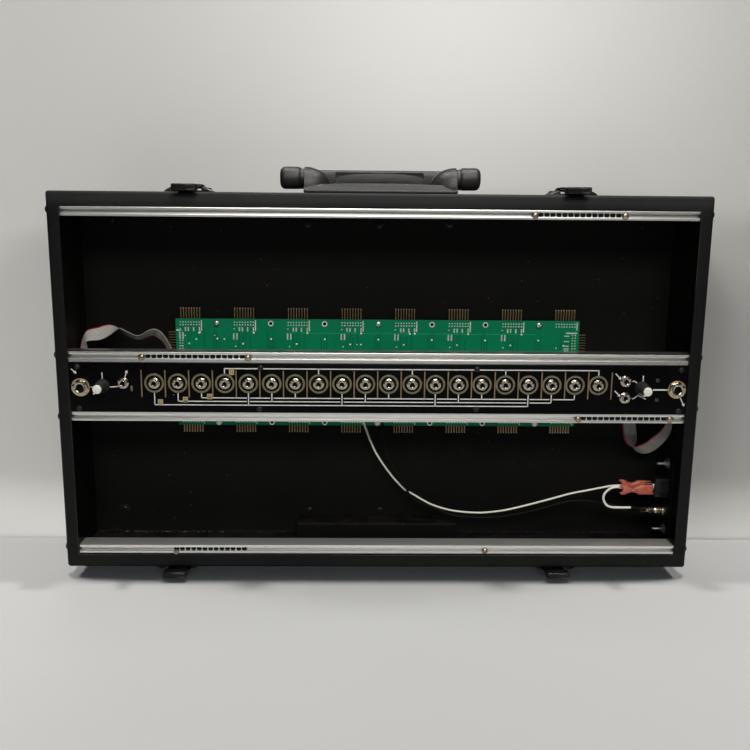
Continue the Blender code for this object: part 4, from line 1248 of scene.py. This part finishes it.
# --------------------------------------------------------- power inlet, right
INLET_Y, ROCKER_Z, SOCKET_Z = 50.0, -103.7, -127.6
PLATE_X0, PLATE_X1 = 276.2, 278.2
plate = Part("inlet_mounting_plate", replaces="inlet_plate", slot="powder_coat", sharp=30)
plate.add(carved(
    box_solid((PLATE_X0, PLATE_X1), about(INLET_Y, 13), (-152.1, -75.1), 0.3),
    box_solid((PLATE_X0 - 3, PLATE_X1 + 3), about(INLET_Y, 6.4), about(ROCKER_Z, 9.2)),
    rod_solid(4.3, -6, 6, (PLATE_X1 - 1, INLET_Y, SOCKET_Z), "+X", 28)), COAT_IN)
BOLT = ([(0, -1.2), (1.3, -1.0)] + thread(-0.4, 10.6, 0.5, crest=1.55, root=1.28)
        + [(1.3, 11.2), (0, 11.4)])


def teeth(angle, k):
    return 1.0 + (0.22 if math.cos(8 * angle) > 0 and k in (1, 2) else 0.0)


for z in (-146.2, -81.0):
    # bolt through the wall: thread, nut and toothed washer inside, head outside
    plate.lathe(BOLT, (PLATE_X0, INLET_Y, z), "-X", STEEL, 16)
    plate.hex_nut((PLATE_X0 - 0.9, INLET_Y, z), "-X", 6.2, 2.3, 1.4, STEEL, turn=0.35)
    plate.ring([(1.7, 0.0), (4.0, 0.15), (4.0, 0.75), (1.7, 0.6)], (PLATE_X0, INLET_Y, z),
               "-X", STEEL, 64, teeth)
    plate.pan_screw((CASE_W / 2, INLET_Y, z), "+X", 3.0, 1.4, BLACK_SCREW, turn=0.3)
plate.done()

switch = Part("rocker_switch_moulding", replaces="power_switch_body", slot="black_plastic",
              sharp=30)
body = box_solid((263.4, 279.4), about(INLET_Y, 6.1), about(ROCKER_Z, 8.8), 0.4)
bezel = box_solid((278.5, 279.7), about(INLET_Y, 7.8), about(ROCKER_Z, 10.8), 0.5, 3)
well = box_solid((271.5, 285), about(INLET_Y, 4.9), about(ROCKER_Z, 8.0))
switch.add(carved(body, well, union=(bezel,)), PLASTIC)
for z in (ROCKER_Z + 3.4, ROCKER_Z - 2.2, ROCKER_Z - 6.6):
    switch.box((256.0, 264.0), about(INLET_Y, 3.0), about(z, 0.4), STEEL, 0.12, 1)
for side in (-1, 1):
    for k in (-1, 1):
        switch.box((268.0, 275.6), (INLET_Y + side * 6.0, INLET_Y + side * 6.5),
                   about(ROCKER_Z + k * 5, 2), PLASTIC, 0.15, 1)
switch.done()

# the rocker, with a raised tick on its lower half
ROCKER_TILT = math.radians(12.0)
ROCKER_X = 276.6
# height along the rocker and distance out from its axis
ROCKER = [(-7.4, 0.2), (-7.4, 1.35), (-6.9, 1.55), (-3.4, 1.02), (0.0, 0.7), (3.4, 1.02),
          (6.9, 1.55), (7.4, 1.35), (7.4, 0.2), (5.6, -1.2), (4.0, -2.1), (0, -2.3),
          (-4.0, -2.1), (-5.6, -1.2)]
ROCKER_MARK = [(-5.9, 1.1), (-5.9, 1.5), (-3.1, 1.1), (-3.1, 0.8)]


def tilted(outline):
    """Rocker points to (x, z), turned about the rocker's axis."""
    sine, cosine = math.sin(ROCKER_TILT), math.cos(ROCKER_TILT)
    return [(ROCKER_X + out * cosine + up * sine, ROCKER_Z + up * cosine - out * sine)
            for up, out in outline]


rocker = Part("rocker_button", "switch_rocker", replaces="power_switch_rocker",
              slot="black_plastic")
rocker.prism(tilted(ROCKER), "Y", *about(INLET_Y, 4.45), PLASTIC, 0.18)
rocker.prism(tilted(ROCKER_MARK), "Y", *about(INLET_Y, 0.28), MARK)
rocker.done(origin=place(ROCKER_X, INLET_Y, ROCKER_Z))

SOCKET = ([(0, -21.0), (2.0, -21.0), (2.4, -20.6), (2.4, -19.3), (4.2, -19.2), (4.5, -18.9),
           (4.5, -16.9), (4.1, -16.6), (4.1, -14.6), (4.6, -14.3), (4.6, -12.6)]
          + thread(-12.3, -5.6, 0.5, crest=4.75, root=4.5)
          + [(4.6, -5.2), (4.0, -5.1), (4.0, 0.3), (5.2, 0.35), (6.0, 0.5), (6.1, 0.9),
             (5.9, 1.4), (3.1, 1.4), (2.8, 1.1), (2.8, -8.9), (0.95, -8.9), (0.95, -0.1),
             (0.6, 0.3), (0, 0.35)])
socket = Part("barrel_power_socket", replaces="dc_power_socket", slot="brass", sharp=34)
socket.lathe(SOCKET, (PLATE_X1 + 0.25, INLET_Y, SOCKET_Z), "+X", SOCKET_BRASS, 40)
socket.hex_nut((PLATE_X0 - 0.1, INLET_Y, SOCKET_Z), "-X", 11.0, 2.2, 4.5, SOCKET_BRASS,
               turn=0.2, segments=48)
for shift, radius in ((-6.1, 5.15), (-8.4, 5.0)):
    socket.ring([(4.4, 0.0), (radius, 0.1), (radius, 0.9), (4.4, 1.0)],
                (PLATE_X1 + shift, INLET_Y, SOCKET_Z), "-X", SOCKET_BRASS, 36)
for y, z in ((0, 2.4), (2.2, -1.4)):
    socket.box((253.0, 258.4), about(INLET_Y + y, 1.1), about(SOCKET_Z + z, 0.3),
               SOCKET_BRASS, 0.1, 1)
socket.done()

# insulated push-on connectors: x, half height, half thickness, z shift
SPADE_STATIONS = [
    (233.6, 4.0, 2.1, 0.4), (236.4, 4.4, 2.4, 0.0), (239.6, 3.0, 2.2, 0.1),
    (243.0, 2.3, 2.0, 0.0), (246.0, 2.9, 2.1, 0.0), (249.0, 4.5, 2.2, 0.0),
    (252.5, 4.9, 2.2, 0.1), (257.5, 4.75, 2.1, 0.0), (261.6, 4.9, 2.1, -0.2),
    (262.4, 4.3, 1.7, -0.2)]


def spade(part, y, z, lean, rise):
    """A forked wire end, a pinched neck and a flat wide mouth; lean and rise tilt it."""
    solid = bmesh.new()
    rings = []
    sides = 28
    squareness = 0.62
    for x, half_h, half_t, shift in spline(SPADE_STATIONS, 4):
        ring = []
        for i in range(sides):
            angle = 2 * math.pi * i / sides
            cosine, sine = math.cos(angle), math.sin(angle)
            high = half_h * math.copysign(abs(sine) ** squareness, sine)
            deep = half_t * math.copysign(abs(cosine) ** squareness, cosine)
            # a shallow groove along each wide face, deeper near the mouth
            fade = max(0.0, min(1.0, (x - 246) / 6))
            groove = 0.35 * math.exp(-((high / max(half_h, 0.1)) * 2.4) ** 2) * fade
            deep -= math.copysign(groove, cosine)
            ring.append(solid.verts.new(place(
                x, y + deep + lean * high, z + shift + high + rise * (x - 250) / 12)))
        rings.append(ring)
    skin(solid, rings)
    part.add(solid, SPADE_RED)
    # the two tongues of the wire-end fork, the upper one longer
    for side, tip, corner in ((1, 3.6, 4.9), (-1, 2.6, 4.3)):
        tongue = [(237.5, 0.2), (233.8, 1.7), (230.9, tip), (232.3, corner), (235.4, 4.6),
                  (238.5, 2.6)]
        part.prism([(x, z + side * up + rise * (x - 250) / 12) for x, up in tongue],
                   "Y", *about(y, 1.3), SPADE_RED, 0.35)


spades = Part("push_on_connectors", sharp=50)
spade(spades, INLET_Y + 3.2, -103.6, lean=0.10, rise=-0.7)
spade(spades, INLET_Y - 1.8, -106.6, lean=-0.06, rise=0.2)
# crimped neck and blade
spades.lathe([(0, 0), (1.15, 0), (1.2, 3.2), (0, 3.2)], (241.6, INLET_Y - 3.2, -106.2), "+X",
             NICKEL, 16)
spades.box((261.6, 266.0), (INLET_Y - 3.0, INLET_Y - 2.0), (-104.4, -100.9), STEEL, 0.15, 1)
spades.done()

# ---------------------------------------------------------- stiffening channel
CHANNEL = [(61.0, -163.7), (62.5, -163.7), (62.5, -147.0), (85.6, -147.0),
           (85.6, -163.7), (87.2, -163.7), (87.2, -145.5), (61.0, -145.5)]
channel = Part("floor_stiffener", replaces="stiffening_bracket", slot="powder_coat", sharp=30)
channel.prism(rounded(CHANNEL, [0.2, 0.2, 0.8, 0.8, 0.2, 0.2, 2.2, 2.2], 4),
              "X", -77.0, 77.0, COAT_IN)
channel.done()

# --------------------------------------------------------------------- handle
GRIP_X, GRIP_Y, GRIP_Z = -0.9, 30.0, 178.7      # middle of the grip's pivot line
mount = Part("handle_mount", replaces="handle_base", slot="black_rubber", sharp=38)
mount.box(about(GRIP_X, 65.5), (12.0, 52.0), (TOP + 0.25, TOP + 3.0), RUBBER, 1.0, 3)

# a block with a crowned top, narrower front to back at the top
crown = [(-65.6, 167.3), (65.6, 167.3), (65.6, 171.6)]
for i in range(21):
    u = 1 - 2 * i / 20
    crown.append((65.2 * u, 172.6 + 1.5 * (1 - u * u)))
crown.append((-65.6, 171.6))
block = prism_solid([(GRIP_X + x, z) for x, z in crown], "Y", 15.0, 50.0)
for vertex in block.verts:
    if vertex.co.z > place(0, 0, 171.9).z:
        vertex.co.y += (2.6 if vertex.co.y < place(0, 33, 0).y else -2.0) * MM
round_edges(block, [e for e in block.edges if e.calc_face_angle(0) > math.radians(25)], 0.7, 3)
mount.add(block, RUBBER)

LUG_Z = 170.5
for side in (-1, 1):
    lug = bmesh.new()
    bmesh.ops.create_uvsphere(
        lug, u_segments=64, v_segments=32, radius=MM,
        matrix=Matrix.Translation(place(GRIP_X + side * 65.0, GRIP_Y, LUG_Z))
        @ Matrix.Diagonal((22.5, 14.5, 17.6, 1.0)))
    # keep the inner upper part, then soften its cut edge
    for spot, normal in ((place(GRIP_X + side * 65.2, 0, 0), Vector((side, 0, 0))),
                         (place(0, 0, TOP + 1.2), Vector((0, 0, -1)))):
        cut = bmesh.ops.bisect_plane(
            lug, geom=list(lug.verts) + list(lug.edges) + list(lug.faces),
            plane_co=spot, plane_no=normal, clear_outer=True)
        rim = [e for e in cut["geom_cut"] if isinstance(e, bmesh.types.BMEdge)]
        bmesh.ops.edgeloop_fill(lug, edges=[e for e in rim if e.is_boundary])
    mend_normals(lug)
    corners = [e for e in lug.edges
               if len(e.link_faces) == 2 and e.calc_face_angle(0) > math.radians(50)]
    round_edges(lug, corners, 0.9, 3)
    mount.add(lug, RUBBER)
    # a raised rib round the shoulder of the lug
    rib = []
    for i in range(15):
        angle = math.radians(4 + 82 * i / 14)
        rib.append((GRIP_X + side * (65.0 - 22.3 * math.sin(angle) * 0.985),
                    GRIP_Y - 14.5 * 0.28, LUG_Z + 17.5 * math.cos(angle) * 0.965))
    mount.tube(rib, 0.5, RUBBER, 8)
for x, z in ((-44.0, 172.9), (0.0, 174.0), (44.0, 172.9)):
    mount.lathe([(0, 0.35), (4.6, 0.35), (4.9, 0.0), (4.9, -1.5), (0, -1.5)],
                (GRIP_X + x, GRIP_Y + 2.0, z), "+Z", RUBBER, 30)
mount.done()


def finger_panel():
    """A scooped surface on the front of the bar, deepest in the middle."""
    columns, rows = 40, 14
    solid = bmesh.new()
    front, rear = [], []
    for i in range(columns + 1):
        u = -1 + 2 * i / columns
        front.append([])
        rear.append([])
        for j in range(rows + 1):
            v = -1 + 2 * j / rows
            bend = 1.5 * (1 - 0.55 * u * u)
            lift = 0.3 + 0.9 * (0.5 + 0.5 * v) * (0.35 + 0.65 * u * u)
            y = 56.35 - bend * (1 - v * v) * 0.55 + lift * 0.6
            x, z = GRIP_X + 39.2 * u, 178.75 + 6.4 * v
            front[-1].append(solid.verts.new(place(x, y, z)))
            rear[-1].append(solid.verts.new(place(x, 58.5, z)))
    add = solid.faces.new
    for i in range(columns):
        for j in range(rows):
            add((front[i][j], front[i + 1][j], front[i + 1][j + 1], front[i][j + 1]))
            add((rear[i][j], rear[i][j + 1], rear[i + 1][j + 1], rear[i + 1][j]))
    for i in range(columns):
        add((front[i][0], rear[i][0], rear[i + 1][0], front[i + 1][0]))
        add((front[i][rows], front[i + 1][rows], rear[i + 1][rows], rear[i][rows]))
    for j in range(rows):
        add((front[0][j], front[0][j + 1], rear[0][j + 1], rear[0][j]))
        add((front[-1][j], rear[-1][j], rear[-1][j + 1], front[-1][j + 1]))
    mend_normals(solid)
    return solid


HUB = [(0, -1.0), (2.6, -1.0), (2.6, 0.0), (5.6, 0.0), (7.3, -0.5), (8.7, -1.7), (9.3, -3.3),
       (9.5, -5.0), (9.5, -14.6), (9.2, -16.4), (8.5, -17.4), (7.4, -17.9), (0, -17.9)]
grip = Part("handle_grip_moulding", "handle", replaces="handle_grip", slot="black_rubber",
            sharp=38)
grip.add(carved(box_solid(about(GRIP_X, 86.0), (55.5, 71.5), (170.6, 187.0), 4.6, 5),
                box_solid(about(GRIP_X, 39.4), (50.0, 56.5), (172.2, 185.3), 0.4)), RUBBER)
grip.add(finger_panel(), RUBBER)
for side, outward, inward in SIDES:
    # an arm, its round hub and the pivot screw
    grip.box((GRIP_X + side * 68.2, GRIP_X + side * 86.0), (30.0, 66.0), about(GRIP_Z, 7.8),
             RUBBER, 4.6, 5)
    grip.lathe(HUB, (GRIP_X + side * 86.1, GRIP_Y, GRIP_Z), outward, RUBBER, 56)
    grip.lathe([(0, 0), (2.3, 0), (2.3, 0.7), (1.9, 1.0), (0, 1.0)],
               (GRIP_X + side * 85.0, GRIP_Y, GRIP_Z), outward, STEEL, 24)
    grip.rod(8.0, 0.0, 2.9, (GRIP_X + side * 65.5, GRIP_Y, GRIP_Z), outward, RUBBER, 40)
    grip.rod(2.9, 0.0, 9.0, (GRIP_X + side * 66.0, GRIP_Y, GRIP_Z), inward, STEEL, 20)
grip.done(origin=place(GRIP_X, GRIP_Y, GRIP_Z))

# -------------------------------------------------------------------- latches
PIVOT_Y = 30.0
PIVOT_OUT = 4.2                     # pivot height off the wall
HOOK_ARM = 7.0                      # hook pivot in front of the lever pivot
# name, x of the middle, 1 on the top wall and -1 on the bottom wall
LATCHES = [("upper_left", -163.0, 1), ("upper_right", 162.0, 1), ("lower_left", -182.0, -1),
           ("lower_right", 161.5, -1)]


def latch(label, middle, side):
    """Plate, lever and hook; "ahead" is forward of the pivot, "off" is out from the wall."""
    facing = "+Z" if side > 0 else "-Z"

    def ahead(*distances):
        return [PIVOT_Y - d for d in distances]

    def off(*distances):
        return [side * CASE_H / 2 + side * d for d in distances]

    def seat(x, forward, out):
        return (x, *ahead(forward), *off(out))

    base = Part(label + "_latch_plate", replaces=label + "_latch_base", slot="latch_black",
                sharp=30)
    # x from the middle, distance off the wall
    section = [(-19.0, 0.05), (19.0, 0.05), (19.0, 0.9), (15.2, 3.2), (11.9, 3.2),
               (11.9, 1.2), (-11.9, 1.2), (-11.9, 3.2), (-15.2, 3.2), (-19.0, 0.9)]
    outline = [(middle + x, *off(out)) for x, out in section]
    if side < 0:
        # the corner radii below keep their order
        outline.reverse()
    radii = [0.1, 0.1, 0.5, 0.9, 0.4, 0.3, 0.3, 0.4, 0.9, 0.5]
    base.prism(rounded(outline, radii), "Y", *ahead(25.5, -6.0), LATCH, 0.16)
    for hand, outward, inward in SIDES:
        base.box((middle + hand * 7.8, middle + hand * 9.0), ahead(-2.2, 2.2),
                 off(0.8, PIVOT_OUT), LATCH, 0.1, 1)
        ear = seat(middle + hand * 7.8, 0.0, PIVOT_OUT)
        base.rod(2.2, 0, 1.2, ear, outward, LATCH, 28)
        base.lathe([(0, 0), (1.0, 0), (1.0, 2.4), (1.6, 2.4), (1.6, 2.9), (1.0, 3.2), (0, 3.2)],
                   ear, outward, BLACK_SCREW, 20)
        for forward in (19.5, -2.5):
            base.lathe([(0, -0.4), (2.5, -0.4), (2.5, 0.1), (2.2, 0.75), (1.3, 1.15),
                        (0, 1.25)], seat(middle + hand * 13.7, forward, 3.1), facing,
                       BLACK_SCREW, 26)
    base.lathe([(0, -0.4), (2.4, -0.4), (2.4, 0.1), (2.0, 0.6), (1.2, 0.85), (0, 0.9)],
               seat(middle, 16.0, 1.2), facing, BLACK_SCREW, 24)
    base.box(about(middle, 7.3), ahead(19.2, 23.4), off(1.1, 3.1), LATCH, 0.3)
    base.done()

    lever = Part(label + "_latch_cover", label + "_lever", replaces=label + "_latch_lever",
                 slot="latch_black", sharp=30)
    lever.box(about(middle, 10.4), ahead(2.6, 22.0), off(5.55, 6.65), LATCH, 0.3)
    cheek = [(-2.3, PIVOT_OUT), (-1.6, PIVOT_OUT + 1.65), (0.6, 6.4), (12.5, 6.4), (11.0, 3.6),
             (9.0, PIVOT_OUT - 2.3), (0.2, PIVOT_OUT - 2.3), (-1.6, PIVOT_OUT - 1.6)]
    for hand in (-1, 1):
        start, end = sorted((middle + hand * 9.35, middle + hand * 10.4))
        bores = [rod_solid(1.25, -3, 3, seat((start + end) / 2, forward, PIVOT_OUT), "+X", 22)
                 for forward in (0.0, HOOK_ARM)]
        plate = prism_solid([(*ahead(a), *off(b)) for a, b in cheek], "X", start, end, 0.12, 1)
        lever.add(carved(plate, *bores), LATCH)
    # a finger lip bent in at the free end, and a raised round boss
    lip = [(21.2, 6.6), (22.6, 6.1), (23.4, 4.6), (22.7, 4.3), (21.9, 5.5), (20.8, 5.75)]
    lever.prism([(*ahead(a), *off(b)) for a, b in lip], "X", *about(middle, 8.4), LATCH, 0.1, 1)
    lever.lathe([(0, -0.3), (3.1, -0.3), (3.3, 0.0), (2.9, 0.4), (0, 0.5)],
                seat(middle, 12.0, 6.6), facing, LATCH, 30)
    lever.done(origin=place(*seat(middle, 0.0, PIVOT_OUT)))

    hook = Part(label + "_latch_claw", label + "_hook", replaces=label + "_latch_hook",
                slot="latch_black")
    hook.box(about(middle, 7.4), ahead(HOOK_ARM, 33.0), off(*about(PIVOT_OUT, 0.8)), LATCH, 0.25)
    hook_seat = seat(middle, HOOK_ARM, PIVOT_OUT)
    hook.rod(1.1, -10.1, 10.1, hook_seat, "+X", BLACK_SCREW, 20)
    nose = box_solid(about(middle, 10.3), ahead(32.0, 42.0), off(0.4, 6.2), 1.25, 4)
    dish = box_solid(about(middle, 8.9), ahead(41.65, 46.0), off(1.5, 5.1), 0.15, 1)
    hook.add(carved(nose, dish), LATCH)
    hook.done(origin=place(*hook_seat))


for row in LATCHES:
    latch(*row)

# ----------------------------------------------------------------------- feet
FOOT_SCREW_Y = (38.0, 68.0)
for label, x in (("left_foot", -225.0), ("right_foot", 225.0)):
    foot = Part(label + "_pad", replaces=label, slot="black_rubber", sharp=34)
    sinks = [rod_solid(3.4, -3, 5.5, (x, y, -MID_Z), "+Z", 26) for y in FOOT_SCREW_Y]
    foot.add(carved(box_solid(about(x, 14.0), (24.0, 82.0), (-MID_Z, -165.6), 2.6, 4), *sinks),
             FOOT_RUBBER)
    for y in FOOT_SCREW_Y:
        foot.pan_screw((x, y, -170.4), "-Z", 2.9, 1.6, STEEL, turn=0.4 + y * 0.03)
    foot.done()


# --------------------------------------------------- stage, in metres from here
def stage_material(name, tones, scale, one_sided=False):
    """A mottled matt finish; one_sided makes it clear from behind."""
    material = bpy.data.materials.new(name)
    graph = Graph(material)
    shader = graph.tree.nodes["Principled BSDF"]
    coords = graph.add("TexCoord", output="Object")
    mottle = graph.noise(coords, scale, detail=4.0)
    first, second = tones
    graph.feed(shader, {"Base Color": graph.mix(mottle, (*first, 1), (*second, 1)),
                        "Roughness": 0.6, "Specular IOR Level": 0.2})
    if one_sided:
        behind_it = graph.add("NewGeometry", output="Backfacing")
        clear = graph.add("BsdfTransparent")
        pick = graph.add("MixShader", {0: behind_it, 1: shader.outputs[0], 2: clear})
        graph.feed(graph.tree.nodes["Material Output"], {"Surface": pick})
    return material


def stage_mesh(name, vertices, faces, material, smooth=False):
    mesh = bpy.data.meshes.new(name)
    mesh.from_pydata([Vector(v) for v in vertices], [], faces)
    mesh.materials.append(material)
    if smooth:
        mesh.shade_smooth()
    piece = bpy.data.objects.new(name, mesh)
    bpy.context.scene.collection.objects.link(piece)
    piece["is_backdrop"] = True
    return piece


FLOOR = stage_material("stage_floor", tones=((0.60, 0.595, 0.575), (0.57, 0.565, 0.545)),
                       scale=3.0)
WALL = stage_material("stage_wall", tones=((0.70, 0.695, 0.665), (0.67, 0.665, 0.635)),
                      scale=2.0, one_sided=True)
floor = stage_mesh("stage_floor", [(-4, -3, 0), (4, -3, 0), (4, 4, 0), (-4, 4, 0)],
                   [(0, 1, 2, 3)], FLOOR)
# a backdrop close behind the case, curving up from the floor and seen by the camera only
CURVE_R, CURVE_Y, WALL_FOOT = 0.05, 0.070, 0.0008
profile = [(0.060, WALL_FOOT)]
for i in range(13):
    angle = math.radians(90 * i / 12)
    profile.append((CURVE_Y + CURVE_R * math.sin(angle),
                    WALL_FOOT + CURVE_R - CURVE_R * math.cos(angle)))
profile.append((CURVE_Y + CURVE_R, 2.2))
vertices = [(x, y, z) for y, z in profile for x in (-2.5, 2.5)]
faces = [(i, i + 1, i + 3, i + 2) for i in range(0, 2 * len(profile) - 2, 2)]
wall = stage_mesh("stage_backdrop", vertices, faces, WALL, smooth=True)
wall.visible_diffuse = False
wall.visible_glossy = False
wall.visible_transmission = False
wall.visible_shadow = False


# --------------------------------------------------------------------- lights
def lamp(name, position, target, size, power, colour=(1, 1, 1), only=None, group=None):
    """A rectangular lamp; with only, it lights those objects through the named collection."""
    data = bpy.data.lights.new(name, 'AREA')
    data.shape = 'RECTANGLE'
    data.size, data.size_y = size
    data.energy = power
    data.color = colour
    data.spread = math.pi
    light = bpy.data.objects.new(name, data)
    light.location = position
    aim = Vector(target) - Vector(position)
    light.rotation_euler = aim.to_track_quat('-Z', 'Y').to_euler()
    bpy.context.scene.collection.objects.link(light)
    if only:
        receivers = bpy.data.collections.new(group)
        for piece in only:
            receivers.objects.link(piece)
        light.light_linking.receiver_collection = receivers


WARM = (1.0, 0.985, 0.96)
WARMER = (1.0, 0.985, 0.95)
for label, x in (("left", -0.36), ("right", 0.37)):
    lamp("lamp_over_" + label, position=(x, 0.010, 1.7), target=(x, 0.010, 0),
         size=(0.08, 0.05), power=10.0, colour=WARM)
lamp("lamp_front", position=(0.05, -1.45, 0.98), target=(0.0, 0.0, 0.17), size=(0.9, 0.35),
     power=12.4, colour=WARMER, only=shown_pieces(), group="lit_by_front")
lamp("lamp_front_high", position=(0.25, -0.85, 1.30), target=(0.0, 0.0, 0.15),
     size=(0.5, 0.25), power=8.6, colour=WARMER, only=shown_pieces(), group="lit_by_high")
lamp("lamp_side", position=(-1.7, -1.0, 0.62), target=(0.3, 0.1, 0.2), size=(0.5, 0.4),
     power=16.4, colour=(1.0, 0.99, 0.975), only=[wall], group="lit_by_side")
lamp("lamp_wall", position=(0.09, -0.30, 0.54), target=(0.09, 0.12, 0.50), size=(0.12, 0.12),
     power=1.15, colour=(1.0, 0.99, 0.965), only=[wall], group="lit_by_pool")
lamp("lamp_floor", position=(0.0, -1.25, 0.26), target=(0.0, -0.04, 0.0), size=(1.2, 0.15),
     power=4.2, colour=(0.90, 0.95, 1.08), only=[floor], group="lit_by_fill")
for label, x in (("left", -0.75), ("right", 0.76)):
    lamp("lamp_floor_" + label, position=(x, 0.05, 0.60), target=(x * 0.5, -0.02, 0.0),
         size=(0.12, 0.12), power=2.3, only=[floor], group="lit_by_floor_" + label)
lamp("lamp_top", position=(0.0, 0.0, 1.7), target=(0.0, 0.0, 0.0), size=(0.5, 0.1),
     power=3.6, colour=WARM, only=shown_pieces(), group="lit_by_top")
lamp("lamp_back", position=(-0.5, 1.8, 1.2), target=(0.0, 0.0, 0.17), size=(1.4, 0.8),
     power=6.0)

# a faint sky that brightens upwards
world = bpy.data.worlds.new("studio")
bpy.context.scene.world = world
sky = Graph(world)
coords = sky.add("TexCoord", output="Generated")
level = sky.add("SeparateXYZ", {0: coords}, "Z")
strength = sky.remap(level, low=-0.1, high=0.9, to_low=0.012, to_high=0.060)
sky.feed(sky.tree.nodes["Background"], {"Color": (0.95, 0.965, 1.0, 1), "Strength": strength})

# --------------------------------------------------------------------- camera
CAMERA_AT = (-0.0229189, -0.7735655, 0.3199708)
YAW, PITCH, ROLL = 0.0174115, 0.1944967, 0.0087895      # right, down and tilt, in radians
level_right = Vector((math.cos(YAW), -math.sin(YAW), 0))
level_ahead = Vector((math.sin(YAW), math.cos(YAW), 0))
upright = Vector((0, 0, 1))
ahead = level_ahead * math.cos(PITCH) - upright * math.sin(PITCH)
pitched_up = upright * math.cos(PITCH) + level_ahead * math.sin(PITCH)
right = level_right * math.cos(ROLL) + pitched_up * math.sin(ROLL)
up = pitched_up * math.cos(ROLL) - level_right * math.sin(ROLL)
camera_data = bpy.data.cameras.new("camera")
camera_data.sensor_width = 36.0
camera_data.lens = 41.5439
camera_data.shift_x = 0.008581
camera_data.shift_y = 0.019222
camera_data.clip_start = 0.02
camera = bpy.data.objects.new("camera", camera_data)
bpy.context.scene.collection.objects.link(camera)
rows = [(right[i], up[i], -ahead[i], CAMERA_AT[i]) for i in range(3)]
camera.matrix_world = Matrix(rows + [(0, 0, 0, 1)])
bpy.context.scene.camera = camera
bpy.context.scene.view_settings.view_transform = 'Standard'
